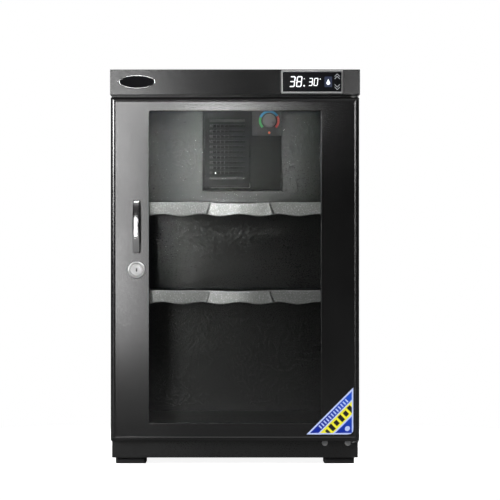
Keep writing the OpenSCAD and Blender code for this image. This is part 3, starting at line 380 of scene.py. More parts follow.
lit = {
    "white": glowing("litWhite", (0.6, 0.6, 0.6, 1.0), (0.92, 0.95, 1.0, 1.0), 1.0),
    "blue": glowing("litBlue", (0.004, 0.008, 0.03, 1.0), (0.02, 0.06, 0.22, 1.0), 0.08),
    "dim": glowing("litDim", (0.1, 0.1, 0.1, 1.0), (0.4, 0.42, 0.45, 1.0), 1.1),
}
apart = {
    # the cold sink's metal is darkened as painted shade, so it stays dark behind the unit's slots
    "cold_sink": metal("darkSink", 0.05, 0.5, along["z"], 700.0, 0.00002),
    "rear_cover_screws": metal("darkScrew", 0.06, 0.45, along["z"], 500.0, 0.00002),
    # the hinge screws' pale diffuse colour is a painted reflection that stands in for the shine of their
    # plating
    "hinge_screws": plastic("nickelScrew", (0.78, 0.78, 0.79, 1.0), 0.3, 500.0, 0.00001, 0.15, 1.0),
    "display_window": plastic("displayBlack", (0.002, 0.002, 0.003, 1.0), 0.3, 300.0, 0.000003, 0.15, 0.08),
    "upper_hinge_bracket": metal("bracketSteel", 0.16, 0.5, along["x"], 500.0, 0.00002),
    "lower_hinge_bracket": metal("bracketSteelLow", 0.16, 0.5, along["x"], 500.0, 0.00002),
}
# a few nodes look different from the rest of their slot, so they get a finish of their own; the cold sink's
# dark metal is painted shade and the hinge screws' pale colour is a painted reflection
slotOf = {}
for nodeName, node in frame["nodes"].items():
    slotOf[nodeName] = node.data.materials[0].name.split(".")[0]
    node.data.materials[0] = apart.get(nodeName, finishes[slotOf[nodeName]])
print("finishes made:", len(finishes) + len(lit))


# meshes from grids

def grid(points, closeRows=False, caps=()):
    # points[i, j] is the surface at row i and column j; each face joins two rows and two columns, and
    # the last column joins the first
    rows, columns = points.shape[:2]
    rowEnds = rows if closeRows else rows - 1
    i, j = np.meshgrid(np.arange(rowEnds), np.arange(columns), indexing="ij")
    below = (i + 1) % rows
    beside = (j + 1) % columns
    corners = (i * columns + j, i * columns + beside, below * columns + beside, below * columns + j)
    faces = np.stack(corners, -1).reshape(-1, 4).tolist()
    for cap in caps:
        faces.append((np.arange(columns) + (cap % rows) * columns).tolist())
    return points.reshape(-1, 3), faces


def meshOf(name, grids):
    # joins the grids' points and faces, merges doubles and turns every face outwards
    mesh = bpy.data.meshes.new(name)
    starts = np.cumsum([0] + [len(points) for points, faces in grids])
    allPoints = np.concatenate([points for points, faces in grids]) * scale
    allFaces = [[corner + int(start) for corner in face]
                for (points, faces), start in zip(grids, starts) for face in faces]
    mesh.from_pydata(allPoints.tolist(), [], allFaces)
    work = bmesh.new()
    work.from_mesh(mesh)
    bmesh.ops.remove_doubles(work, verts=work.verts, dist=0.000002)
    bmesh.ops.recalc_face_normals(work, faces=work.faces)
    work.to_mesh(mesh)
    work.free()
    return mesh


def finishPiece(name, mesh, body, material, replaced=(), angle=35.0, weighted=True):
    # links the piece, shades it smooth below the angle, and makes it ride on its body
    piece = bpy.data.objects.new(name, mesh)
    bpy.context.scene.collection.objects.link(piece)
    mesh.materials.clear()
    mesh.materials.append(material)
    mesh.shade_smooth()
    mesh.set_sharp_from_angle(angle=math.radians(angle))
    if weighted:
        piece.modifiers.new("shading", "WEIGHTED_NORMAL").keep_sharp = True
    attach(piece, body)
    if replaced:
        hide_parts(*replaced)
    return piece


def stackLoops(rows, steps=6, facing="front"):
    # each row is a rounded rectangle (centre, centre, width, height, corner radius, depth):
    # a corner's point is its arc's centre plus the radius along the angle
    table = np.array(rows, float)[:, :, None, None]
    quarter = np.arange(4)[:, None]
    angle = np.radians(quarter * 90 + np.linspace(0, 90, steps + 1)[None, :])
    signA = np.array([1, -1, -1, 1])[:, None]
    signB = np.array([1, 1, -1, -1])[:, None]
    radius = table[:, 4]
    a = table[:, 0] + signA * (table[:, 2] / 2 - radius) + radius * np.cos(angle)
    b = table[:, 1] + signB * (table[:, 3] / 2 - radius) + radius * np.sin(angle)
    depth = table[:, 5] + np.zeros_like(a)
    order = (a, depth, b) if facing == "front" else (a, b, depth)
    return np.stack(order, -1).reshape(len(table), -1, 3)


def ovalRows(rows, count=64, flutes=0, fluteDepth=0.0):
    # each row is an ellipse (centre x, centre z, width, height, y), with a cosine wave for flutes
    table = np.array(rows, float)[:, :, None]
    angle = np.linspace(0, 2 * np.pi, count, endpoint=False)[None, :]
    wave = 1 + fluteDepth * np.cos(flutes * angle)
    x = table[:, 0] + table[:, 2] / 2 * np.cos(angle) * wave
    z = table[:, 1] + table[:, 3] / 2 * np.sin(angle) * wave
    return np.stack((x, table[:, 4] + np.zeros_like(x), z), -1)


# the rounding of sheet edges: its steps, the angles in degrees from which an edge is rounded and is
# shaded sharp, the angle within which faces are joined, and the distance in metres that merges points
rounding = {"steps": 2, "roundFrom": 32.0, "sharpFrom": 30.0, "flatWithin": 0.3, "mergeWithin": 0.000005}


def softened(nodeName, width):
    # a merged copy of a CAD node whose sharp edges are rounded by a Bevel modifier
    node = frame["nodes"][nodeName]
    mesh = node.data.copy()
    work = bmesh.new()
    work.from_mesh(mesh)
    bmesh.ops.remove_doubles(work, verts=work.verts, dist=rounding["mergeWithin"])
    flat = math.radians(rounding["flatWithin"])
    bmesh.ops.dissolve_limit(work, angle_limit=flat, verts=work.verts, edges=work.edges)
    bmesh.ops.recalc_face_normals(work, faces=work.faces)
    clean = bpy.data.meshes.new(nodeName + "Soft")
    work.to_mesh(clean)
    work.free()
    material = node.data.materials[0]
    body = node.parent.name.split(":")[-1]
    piece = finishPiece(nodeName + "_soft", clean, body, material, (nodeName,),
                        rounding["sharpFrom"], False)
    bevel = piece.modifiers.new("edges", "BEVEL")
    bevel.width = width * scale
    bevel.segments = rounding["steps"]
    bevel.limit_method = "ANGLE"
    bevel.angle_limit = math.radians(rounding["roundFrom"])
    bevel.harden_normals = False
    bevel.miter_outer = "MITER_ARC"
    weighted = piece.modifiers.new("shading", "WEIGHTED_NORMAL")
    weighted.keep_sharp = True
    return piece


# sheets and mouldings whose edges catch the light: the width of each one's rounded edge
edges = {
    "header_cover": 0.9, "left_side_panel": 0.35, "right_side_panel": 0.35, "floor_panel": 0.35,
    "ceiling_panel": 0.35, "back_panel": 0.35, "rear_cover": 0.3, "unit_housing": 0.7,
    "control_plate": 0.4, "upper_tray": 0.3, "lower_tray": 0.3, "door_liner": 0.3, "power_inlet": 0.4,
    "lower_hinge_bracket": 0.4, "upper_hinge_bracket": 0.4, "drip_tray": 0.3, "glass_seal": 0.35,
    "unit_cover": 0.25, "cold_sink": 0.2, "power_supply": 0.3,
}
for nodeName, width in edges.items():
    softened(nodeName, width)
print("rounded sheets:", len(edges))


# the door; an edge here is a list of (inset, depth) steps from the corner that it rounds

door = {
    "centre": (0.0, 313.5), "size": (398.0, 551.0), "front": -180.0, "back": -158.0, "sheet": 1.0,
    "cornerRadius": 2.4, "leastRadius": 0.25, "edgeRadius": 1.1, "outerFall": 3.3,
    "ridgeFrom": 3.4, "ridgeTo": 5.6, "ridgeFall": 0.95, "panelFrom": 7.8, "panelDepth": 1.5,
    "backEdge": [(0.6, 0.0), (0.15, -0.2), (0.0, -0.7)], "ridgeFoot": [(-0.3, 0.2), (0.2, -0.1)],
    "ridgeEdge": [(-0.3, 0.05), (0.0, 0.0), (0.3, 0.15)], "panelFoot": [(-0.4, -0.15), (0.0, 0.0)],
    "innerSlack": 0.6, "foldWidth": 10.0, "windowCentre": (0.0, 316.75), "windowSize": (275.0, 500.5),
    "windowRadius": 2.4, "windowEdge": 0.7, "windowFold": 6.0,
}


def edgeAt(inset, depth, steps):
    # the steps of a rounded edge, moved to its corner
    return [(inset + across, depth + inward) for across, inward in steps]


def doorSkin(values):
    # the outer wall runs from the back fold round the side and over the border and panel into the
    # window fold; the inner wall is the same path one sheet further in, and closes the ring
    front = values["front"]
    back = values["back"]
    sheet = values["sheet"]
    radius = values["edgeRadius"]
    arc = np.radians(np.linspace(0, 90, 6))
    panel = front + values["panelDepth"]
    outer = [(values["foldWidth"], back)]
    outer += edgeAt(0.0, back, values["backEdge"])
    shoulder = front + values["outerFall"]
    ridge = front + values["ridgeFall"]
    turned = arc[:5]
    outer += list(zip(radius - radius * np.cos(turned), shoulder + radius - radius * np.sin(turned)))
    outer += edgeAt(values["ridgeFrom"], ridge, values["ridgeFoot"])
    outer += edgeAt(values["ridgeTo"], front, values["ridgeEdge"])
    outer += edgeAt(values["panelFrom"], panel, values["panelFoot"])
    slack = values["innerSlack"]
    inner = [(values["panelFrom"] + slack, panel + sheet), (values["ridgeTo"], front + sheet + slack)]
    inner += [(values["ridgeFrom"], ridge + sheet), (sheet, shoulder + sheet), (sheet, back - sheet)]
    inner += [(values["foldWidth"], back - sheet)]

    def doorRow(inset, y):
        radiusHere = max(values["cornerRadius"] - inset, values["leastRadius"])
        width = values["size"][0] - 2 * inset
        height = values["size"][1] - 2 * inset
        return values["centre"] + (width, height, radiusHere, y)

    def windowRow(grow, y):
        width = values["windowSize"][0] + 2 * grow
        height = values["windowSize"][1] + 2 * grow
        return values["windowCentre"] + (width, height, values["windowRadius"] + grow, y)

    edge = values["windowEdge"]
    deep = panel + values["windowFold"]
    fold = list(zip(edge - edge * np.sin(arc), panel + edge - edge * np.cos(arc)))
    rows = [doorRow(*point) for point in outer]
    rows += [windowRow(*point) for point in fold]
    rows += [windowRow(0.0, deep), windowRow(sheet, deep), windowRow(sheet, panel + edge)]
    rows += [windowRow(edge, panel + sheet)]
    rows += [doorRow(*point) for point in inner]
    return meshOf("doorSkin", [grid(stackLoops(rows), closeRows=True)])


finishPiece("door_skin_formed", doorSkin(door), "door", finishes["door_paint"],
            ("door_skin",), 50.0)

gasket = {
    "centre": (0.0, 313.5), "size": (378.0, 531.0), "front": -159.0, "back": -155.3, "width": 8.0,
    "radius": 4.0, "leastRadius": 0.5, "acrossPower": 0.6, "deepPower": 0.7, "waves": 4, "waveShare": 0.12,
}


def gasketRing(values):
    # a superellipse section between door and casing, whose sides wave with the cosine of the turn
    turn = np.linspace(0, 2 * np.pi, 24, endpoint=False)
    half = values["width"] / 2
    depth = (values["back"] - values["front"]) / 2
    middle = (values["back"] + values["front"]) / 2
    reach = half * np.sign(np.cos(turn)) * np.abs(np.cos(turn)) ** values["acrossPower"]
    wave = 1 - values["waveShare"] * np.cos(values["waves"] * turn)
    inset = np.clip(half - reach * wave, 0.0, values["width"])
    y = middle + depth * np.sign(np.sin(turn)) * np.abs(np.sin(turn)) ** values["deepPower"]
    width = values["size"][0] - 2 * inset
    height = values["size"][1] - 2 * inset
    radius = np.maximum(values["radius"] - inset / 2, values["leastRadius"])
    zeros = np.zeros_like(inset)
    rows = np.stack((zeros, zeros + values["centre"][1], width, height, radius, y), -1)
    return meshOf("doorGasket", [grid(stackLoops(rows), closeRows=True)])


finishPiece("door_gasket_bellows", gasketRing(gasket), "door", finishes["seal_rubber"],
            ("door_gasket",))

handle = {
    "x": -157.5, "z": 381.0, "half": 42.5, "innerHalf": 30.5, "front": -207.0, "thick": 7.0,
    "bowRadius": 90.0, "outerCorner": 6.0, "innerCorner": 4.0, "base": -178.5, "width": 11.0, "power": 0.46,
}


def bowOutline(half, front, radius, corner, base):
    # half of the bow from its middle: the big arc, the corner's arc tangent to it, then straight to
    # the door; the other half is its mirror image
    turn = math.asin((half - corner) / (radius - corner))
    big = np.linspace(0, turn, 14)
    small = np.linspace(turn, math.pi / 2, 9)[1:]
    arcZ = radius * np.sin(big)
    arcY = front + radius - radius * np.cos(big)
    centreZ = (radius - corner) * math.sin(turn)
    centreY = front + radius - (radius - corner) * math.cos(turn)
    cornerZ = centreZ + corner * np.sin(small)
    cornerY = centreY - corner * np.cos(small)
    straightY = np.linspace(centreY, base, 5)[1:]
    z = np.concatenate((arcZ, cornerZ, np.full(4, half)))
    y = np.concatenate((arcY, cornerY, straightY))
    return np.concatenate((np.stack((-z[:0:-1], y[:0:-1]), -1), np.stack((z, y), -1)))


def handleBow(values):
    # a superellipse section is carried along the bow between its outer and its inner outline
    outer = bowOutline(values["half"], values["front"], values["bowRadius"], values["outerCorner"],
                       values["base"])
    inner = bowOutline(values["innerHalf"], values["front"] + values["thick"],
                       values["bowRadius"] - values["thick"], values["innerCorner"], values["base"])
    turn = np.linspace(0, 2 * np.pi, 40, endpoint=False)[None, :]
    power = values["power"]
    reach = np.sign(np.cos(turn)) * np.abs(np.cos(turn)) ** power
    side = np.sign(np.sin(turn)) * np.abs(np.sin(turn)) ** power
    middle = (outer + inner) / 2
    arm = (outer - inner) / 2
    z = values["z"] + middle[:, 0:1] + arm[:, 0:1] * reach
    y = middle[:, 1:2] + arm[:, 1:2] * reach
    x = values["x"] + values["width"] / 2 * side + np.zeros_like(z)
    return meshOf("handleBow", [grid(np.stack((x, y, z), -1), caps=(0, -1))])


finishPiece("handle_bow", handleBow(handle), "door", finishes["handle_chrome"],
            ("handle",), 60.0)

lock = {
    "centre": (-157.5, 312.0), "face": -181.0, "faceRadius": 14.0, "bore": 9.75, "groove": 1.5,
    "grooveDepth": 1.75, "grooveEdge": [(0.0, 0.1), (0.2, 0.0)],
    "faceEdge": [(-1.8, 0.0), (-0.9, 0.25), (-0.3, 0.8), (0.0, 1.6)],
    "barrel": 9.5, "back": -153.2, "core": 6.55, "seat": -179.2, "door": -178.5,
    "plugCore": 6.4, "coreEnd": -151.2, "headRadius": 9.6, "headFront": -181.6,
    "headEdge": [(0.0, 0.6), (-0.2, 0.2), (-0.6, 0.0)],
    "headRing": [(-2.4, 0.0), (-2.7, 0.25), (-3.1, 0.25), (-3.4, 0.0)],
    "key": (2.4, 5.6), "keyRadius": 0.6, "keyChamfer": (0.7, 0.3, 0.35), "keyDepth": 9.0,
}


def discRow(values, radius, y):
    # a circle round the piece's axis, as ovalRows takes it
    return values["centre"] + (2 * radius, 2 * radius, y)


def lockBarrel(values):
    # a turned ring: bore, groove round the plug, rounded face, flange and the body behind the door
    face = values["face"]
    bore = values["bore"]
    groove = bore + values["groove"]
    floor = face + values["grooveDepth"]
    profile = [(bore, values["seat"]), (bore, floor), (bore + 0.1, floor)]
    profile += edgeAt(groove, face, values["grooveEdge"])
    profile += edgeAt(values["faceRadius"], face, values["faceEdge"])
    profile += [(values["faceRadius"], values["door"]), (values["barrel"], values["door"])]
    profile += [(values["barrel"], values["back"]), (values["core"], values["back"])]
    profile += [(values["core"], values["seat"])]
    rows = [discRow(values, radius, y) for radius, y in profile]
    return meshOf("lockBarrel", [grid(ovalRows(rows), closeRows=True)])


def lockPlug(values):
    # every row is a rounded rectangle, from the round core to the slot of the keyway
    head = values["headRadius"]
    front = values["headFront"]
    keyW, keyH = values["key"]

    def roundRow(radius, y):
        return values["centre"] + (2 * radius, 2 * radius, radius, y)

    grow, rounder, deep = values["keyChamfer"]
    radius = values["keyRadius"]
    rows = [roundRow(values["plugCore"], values["coreEnd"]), roundRow(values["plugCore"], values["seat"])]
    rows += [roundRow(head, values["seat"])]
    rows += [roundRow(*point) for point in edgeAt(head, front, values["headEdge"])]
    rows += [roundRow(*point) for point in edgeAt(head, front, values["headRing"])]
    rows += [values["centre"] + (keyW + grow, keyH + grow, radius + rounder, front)]
    rows += [values["centre"] + (keyW, keyH, radius, front + deep)]
    rows += [values["centre"] + (keyW, keyH, radius, front + values["keyDepth"])]
    return meshOf("lockPlug", [grid(stackLoops(rows, 12), caps=(0, -1))])


finishPiece("lock_barrel_turned", lockBarrel(lock), "door", finishes["satin_lock"],
            ("lock_barrel",))
finishPiece("lock_plug_turned", lockPlug(lock), "lock", finishes["satin_lock"],
            ("lock_plug",))
print("door pieces made")


# the header's badge and display

badge = {
    "centre": (-156.7, 613.0), "size": (58.6, 21.4), "rim": 1.4, "back": -180.0, "proud": 1.6, "foot": 0.6,
    "plateProud": 1.0, "plateGap": 0.02, "plateEdge": 0.8,
    "plateShares": [1.0, 1.0, 0.97, 0.9, 0.75, 0.55, 0.35, 0.15, 0.001],
}


def badgeRim(values):
    # a half-round bead on an ellipse, standing on a low foot
    turn = np.linspace(0, math.pi, 9)
    half = values["rim"] / 2
    inset = half - half * np.cos(turn)
    y = values["back"] - values["foot"] - (values["proud"] - values["foot"]) * np.sin(turn)

    def rimRow(inset, depth):
        width = values["size"][0] - 2 * inset
        height = values["size"][1] - 2 * inset
        return values["centre"] + (width, height, depth)

    rows = [rimRow(0.0, values["back"])]
    rows += [rimRow(*point) for point in zip(inset, y)]
    rows += [rimRow(values["rim"], values["back"])]
    return meshOf("badgeRim", [grid(ovalRows(rows, 96), closeRows=True)])


def badgePlate(values):
    # a shallow dome: its height falls with the square of the distance from the middle
    width = values["size"][0] - 2 * values["rim"] - values["plateGap"]
    height = values["size"][1] - 2 * values["rim"] - values["plateGap"]
    share = np.array(values["plateShares"])
    dome = values["plateEdge"] + (1 - values["plateEdge"]) * (1 - share ** 2)
    y = values["back"] - values["plateProud"] * dome
    y[0] = values["back"]
    rows = [values["centre"] + (width * s, height * s, d) for s, d in zip(share, y)]
    return meshOf("badgePlate", [grid(ovalRows(rows, 96), caps=(0,))])


finishPiece("badge_rim_bead", badgeRim(badge), "cabinet", finishes["chrome_trim"],
            ("badge_rim",), 60.0)
finishPiece("badge_plate_domed", badgePlate(badge), "cabinet", finishes["badge_enamel"],
            ("badge_plate",), 60.0)

display = {
    "centre": (123.25, 613.0), "size": (99.5, 37.6), "rim": 2.8, "front": -181.5, "header": -180.0,
    "back": -168.0, "wall": 1.2, "radius": 2.0, "leastRadius": 0.4,
    "outerEdge": [(0.0, 1.0), (0.3, 0.5), (1.6, 0.0)], "innerEdge": [(-0.3, 0.0), (-0.1, 0.15), (0.0, 0.5)],
}


def displayBezel(values):
    # the rim's front is chamfered on both sides, and its case runs back into the header
    front = values["front"]
    case = values["rim"] - values["wall"]
    sizes = [(0.0, values["header"])]
    sizes += edgeAt(0.0, front, values["outerEdge"])
    sizes += edgeAt(values["rim"], front, values["innerEdge"])
    sizes += [(values["rim"], values["back"]), (case, values["back"]), (case, values["header"])]
    rows = []
    for inset, y in sizes:
        width = values["size"][0] - 2 * inset
        height = values["size"][1] - 2 * inset
        radius = max(values["radius"] - inset / 2, values["leastRadius"])
        rows.append(values["centre"] + (width, height, radius, y))
    return meshOf("displayBezel", [grid(stackLoops(rows), closeRows=True)])


finishPiece("display_bezel_formed", displayBezel(display), "cabinet", finishes["satin_bezel"],
            ("display_bezel",), 25.0)

# lit marks: the humidity and the temperature, a plain drop in its box, and the touch keys' chevrons
marks = {
    "front": -181.0, "back": -180.9, "lean": 0.12, "strokeShare": 0.2, "segmentShare": 0.92,
    "digits": [("3", 86.3, 604.8, 9.0, 17.4), ("8", 97.2, 604.8, 9.0, 17.4),
               ("3", 116.9, 606.5, 6.8, 12.9), ("0", 125.3, 606.5, 6.8, 12.9)],
    "dots": [(110.6, 606.8, 2.6), (110.6, 618.0, 1.6), (136.4, 617.6, 1.6)],
    "box": (149.2, 613.1, 12.0, 16.8), "boxRadius": 1.0,
    "drop": (149.2, 611.4, 3.0), "dropProud": 0.06, "dropWaist": 0.45, "dropTip": 0.95,
    "chevrons": [(163.6, 623.6, -1), (163.6, 619.8, -1), (163.6, 606.9, 1), (163.6, 602.8, 1)],
    "chevronSize": (8.4, 4.6, 0.75),
}
# the segments that each figure lights, lettered clockwise from the top with g in the middle
segments = {"0": "abcdef", "3": "abgcd", "8": "abcdefg"}


def slab(outline, front, back):
    # a flat outline of (x, z) points drawn out between two depths
    outline = np.array(outline, float)
    rows = [np.stack((outline[:, 0], np.full(len(outline), y), outline[:, 1]), -1) for y in (back, front)]
    return grid(np.stack(rows), caps=(0, -1))


def barOutline(start, end, thick):
    # a bar with pointed ends between two points
    start = np.array(start, float)
    end = np.array(end, float)
    way = (end - start) / np.linalg.norm(end - start)
    side = np.array((-way[1], way[0])) * thick / 2
    tip = way * thick / 2
    return [start, start + tip + side, end - tip + side, end, end - tip - side, start + tip - side]


def digitSlabs(values, letter, x, z, width, height):
    # seven bars round a figure of eight, leaning to the right by a share of their height
    thick = width * values["strokeShare"]
    left = thick / 2
    right = width - thick / 2
    low = thick / 2
    high = height - thick / 2
    mid = height / 2
    ends = {
        "a": ((left, high), (right, high)), "b": ((right, high), (right, mid)),
        "c": ((right, mid), (right, low)), "d": ((left, low), (right, low)),
        "e": ((left, mid), (left, low)), "f": ((left, high), (left, mid)),
        "g": ((left, mid), (right, mid)),
    }
    made = []
    for segment in segments[letter]:
        outline = np.array(barOutline(*ends[segment], thick * values["segmentShare"]))
        outline[:, 0] += outline[:, 1] * values["lean"] + x
        outline[:, 1] += z
        made.append(slab(outline, values["front"], values["back"]))
    return made


def litMarks(values):
    # the figures' segments and the round dots beside them
    white = []
    for digit in values["digits"]:
        white += digitSlabs(values, *digit)
    for x, z, size in values["dots"]:
        turn = np.linspace(0, 2 * np.pi, 12, endpoint=False)
        outline = np.stack((x + size / 2 * np.cos(turn), z + size / 2 * np.sin(turn)), -1)
        white.append(slab(outline, values["front"], values["back"]))
    return meshOf("litMarks", white)


def litBox(values):
    # the rounded block behind the drop
    rows = [values["box"] + (values["boxRadius"], y) for y in (values["back"], values["front"])]
    return meshOf("litBox", [grid(stackLoops(rows, 4), caps=(0, -1))])


def litDrop(values):
    # a circle whose top half is drawn up to a point: it narrows with the sine of the turn and rises
    # with the sine's cube
    x, z, radius = values["drop"]
    turn = np.linspace(-np.pi / 2, 1.5 * np.pi, 32, endpoint=False)
    tall = np.maximum(np.sin(turn), 0)
    across = x + radius * np.cos(turn) * (1 - values["dropWaist"] * tall)
    up = z + radius * (np.sin(turn) + values["dropTip"] * tall ** 3)
    face = values["front"] - values["dropProud"]
    return meshOf("litDrop", [slab(np.stack((across, up), -1), face, values["front"])])


def litChevrons(values):
    # each chevron is two bars that meet at its tip
    width, height, thick = values["chevronSize"]
    made = []
    for x, z, way in values["chevrons"]:
        tip = (x, z - way * height / 2)
        for side in (-1, 1):
            foot = (x + side * width / 2, z + way * height / 2)
            made.append(slab(barOutline(foot, tip, thick), values["front"], values["back"]))
    return meshOf("litChevrons", made)


finishPiece("display_marks", litMarks(marks), "cabinet", lit["white"], (), 20.0)
finishPiece("display_box", litBox(marks), "cabinet", lit["blue"], (), 20.0)
finishPiece("display_drop", litDrop(marks), "cabinet", lit["white"], (), 20.0)
finishPiece("display_chevrons", litChevrons(marks), "cabinet", lit["dim"], (), 20.0)
print("header pieces made")


# the trays' fronts, the knob and the lamp

trayFront = {
    "half": 163.0, "back": -130.0, "front": -133.0, "height": 21.5, "waveLength": 63.0, "waveHeight": 3.7,
    "shift": 8.0, "pullTop": 45.5, "pullBottom": 53.0, "pullProud": 3.0, "bulge": 1.6, "lean": 2.0,
    "ramp": 3.5, "dip": 1.6, "round": 0.8, "backRound": 0.5, "lip": 0.02,
    "knots": [0, 44, 50, 90, 96, 140],
}


def trayFrontMesh(values, deck):
    # columns follow the pull's slanted ends; the lower edge is a cosine, the pull's top dips and its
    # face bulges as parabolas and leans back, and the section goes up the front and down the back
    # with rounded edges
    knots = values["knots"]
    column = np.arange(knots[-1] + 1.0)
    ramp = values["ramp"]

    def stations(half):
        ends = [-values["half"], values["shift"] - half - ramp, values["shift"] - half]
        ends += [values["shift"] + half, values["shift"] + half + ramp, values["half"]]
        return np.interp(column, knots, ends)

    rise = np.interp(column, knots, [0.0, 0.0, 1.0, 1.0, 0.0, 0.0])
    inPull = rise * rise * (3 - 2 * rise)
    # the section's points: the share of the height, the wall and how far the point stands behind it
    edge = values["round"]
    turned = values["backRound"]
    lip = values["lip"]
    section = [(0.0, "back", turned), (0.0, "front", edge), (lip, "front", edge / 4)]
    section += [(edge / 20, "front", 0.0)]
    section += [(share, "front", 0.0) for share in np.linspace(0.1, 0.9, 9)]
    section += [(1 - edge / 20, "front", 0.0), (1 - lip, "front", edge / 4), (1.0, "front", edge)]
    section += [(1.0, "back", turned), (1 - lip, "back", 0.0), (lip, "back", 0.0)]
    rows = []
    for share, wall, inset in section:
        x = (1 - share) * stations(values["pullBottom"]) + share * stations(values["pullTop"])
        wave = values["waveHeight"] / 2 * np.cos(2 * np.pi * (x - values["shift"]) / values["waveLength"])
        low = deck - values["height"] + wave
        span = np.clip(np.abs(x - values["shift"]) / values["pullTop"], 0, 1)
        proud = inPull * (values["pullProud"] + values["bulge"] * (1 - span ** 2) - values["lean"] * share)
        high = deck - values["dip"] * inPull * (1 - span ** 2) if wall == "front" else deck
        z = (1 - share) * low + share * high
        y = values["front"] - proud + inset if wall == "front" else values["back"] - inset + 0 * x
        rows.append(np.stack((x, y + 0 * x, z + 0 * x), -1))
    points = np.stack(rows, axis=1)
    return meshOf("trayFront", [grid(points, caps=(0, -1))])


decks = {"upper_tray_front": 422.0, "lower_tray_front": 279.5}
for nodeName, deck in decks.items():
    body = nodeName.replace("_front", "")
    finishPiece(nodeName + "_wavy", trayFrontMesh(trayFront, deck), body, finishes["tray_trim"],
                (nodeName,), 50.0)

knob = {
    "centre": (59.05, 569.4), "radius": 11.6, "front": 126.0, "back": 136.0, "bore": 3.05, "boreDepth": 7.0,
    "flutes": 28, "fluteDepth": 0.018, "columns": 168, "skirt": 1.2, "rim": [(-0.25, 0.45), (-0.9, 0.0)],
    "capFrom": 1.3, "dimple": (5.36, -5.36), "dimpleRadius": 1.9, "dimpleDepth": 1.7,
}


def knobMesh(values):
    # fluted side, rounded rim and a cap whose dimple is a bell of the distance from its centre
    front = values["front"]
    count = values["columns"]
    outer = values["radius"] / (1 + values["fluteDepth"])
    side = [discRow(values, outer, values["back"]), discRow(values, outer, front + values["skirt"])]
    hollow = [discRow(values, values["bore"], values["back"] - values["boreDepth"])]
    hollow += [discRow(values, values["bore"], values["back"])]
    skirt = ovalRows(side, count, values["flutes"], values["fluteDepth"])
    core = ovalRows(hollow, count)
    rim = ovalRows([discRow(values, *point) for point in edgeAt(outer, front, values["rim"])], count)
    radii = np.linspace(outer - values["capFrom"], 0.01, 16)
    caps = ovalRows([discRow(values, radius, front) for radius in radii], count)
    x = caps[..., 0] - values["centre"][0] - values["dimple"][0]
    z = caps[..., 2] - values["centre"][1] - values["dimple"][1]
    caps[..., 1] += values["dimpleDepth"] * np.exp(-(x ** 2 + z ** 2) / values["dimpleRadius"] ** 2)
    return meshOf("humidityKnob", [grid(np.concatenate((core, skirt, rim, caps)), caps=(0,))])


finishPiece("humidity_knob_fluted", knobMesh(knob), "knob", finishes["knob_plastic"],
            ("humidity_knob",), 40.0)

lens = {"centre": (59.05, 548.8), "radius": 2.0, "seat": 136.8, "front": 136.0, "back": 141.3}


def lensMesh(values):
    # a small dome: half an ellipse turned about its axis
    turn = np.linspace(0, math.pi / 2 - 0.01, 8)
    rows = [discRow(values, values["radius"], values["back"])]
    radii = values["radius"] * np.cos(turn)
    depths = values["seat"] - (values["seat"] - values["front"]) * np.sin(turn)
    rows += [discRow(values, *point) for point in zip(radii, depths)]
    return meshOf("indicatorLens", [grid(ovalRows(rows, 32), caps=(0, -1))])


finishPiece("indicator_lens_domed", lensMesh(lens), "cabinet", finishes["lamp_red"],
            ("indicator_lens",))


# the feet

feet = {
    "x": (-168.0, 168.0), "y": (-122.5, 152.5), "size": 49.0, "height": 10.0, "radius": 4.0,
    "recess": 6.0, "recessDepth": 4.0, "edge": 1.4, "chamfer": 0.4, "topEdge": (0.4, 0.5),
}


def footGrid(values, x, y):
    # from the round recess under the foot out to its rounded square and up to its top
    recess = 2 * values["recess"]
    size = values["size"]
    edge = values["edge"]
    chamfer = values["chamfer"]
    mouth = recess + 2 * chamfer
    inward, down = values["topEdge"]
    arc = np.radians(np.linspace(0, 90, 5))
    rows = [(x, y, recess, recess, values["recess"], values["recessDepth"])]
    rows += [(x, y, recess, recess, values["recess"], chamfer)]
    rows += [(x, y, mouth, mouth, values["recess"], 0.0)]
    for angle in arc:
        inset = edge * (1 - math.sin(angle))
        height = edge * (1 - math.cos(angle))
        rows.append((x, y, size - 2 * inset, size - 2 * inset, values["radius"] - inset, height))
    top = size - 2 * inward
    rows += [(x, y, size, size, values["radius"], values["height"] - down)]
    rows += [(x, y, top, top, values["radius"] - inward, values["height"])]
    return grid(stackLoops(rows, 8, "up"), caps=(0, -1))


footGrids = [footGrid(feet, x, y) for x in feet["x"] for y in feet["y"]]
finishPiece("feet_moulded", meshOf("feetMoulded", footGrids), "cabinet", finishes["foot_rubber"],
            ("feet",), 40.0)
print("trays, knob, lamp and feet made")


# floor, world and lights

# the floor, in metres: its radius, where its shade starts and ends, and how bright it looks to the
# eye and to the object
stage = {
    "floorRadius": 30.0, "corners": 96, "fadeFrom": 0.25, "fadeTo": 0.9, "pale": 0.8, "shade": 0.9,
    "dull": 0.12,
}


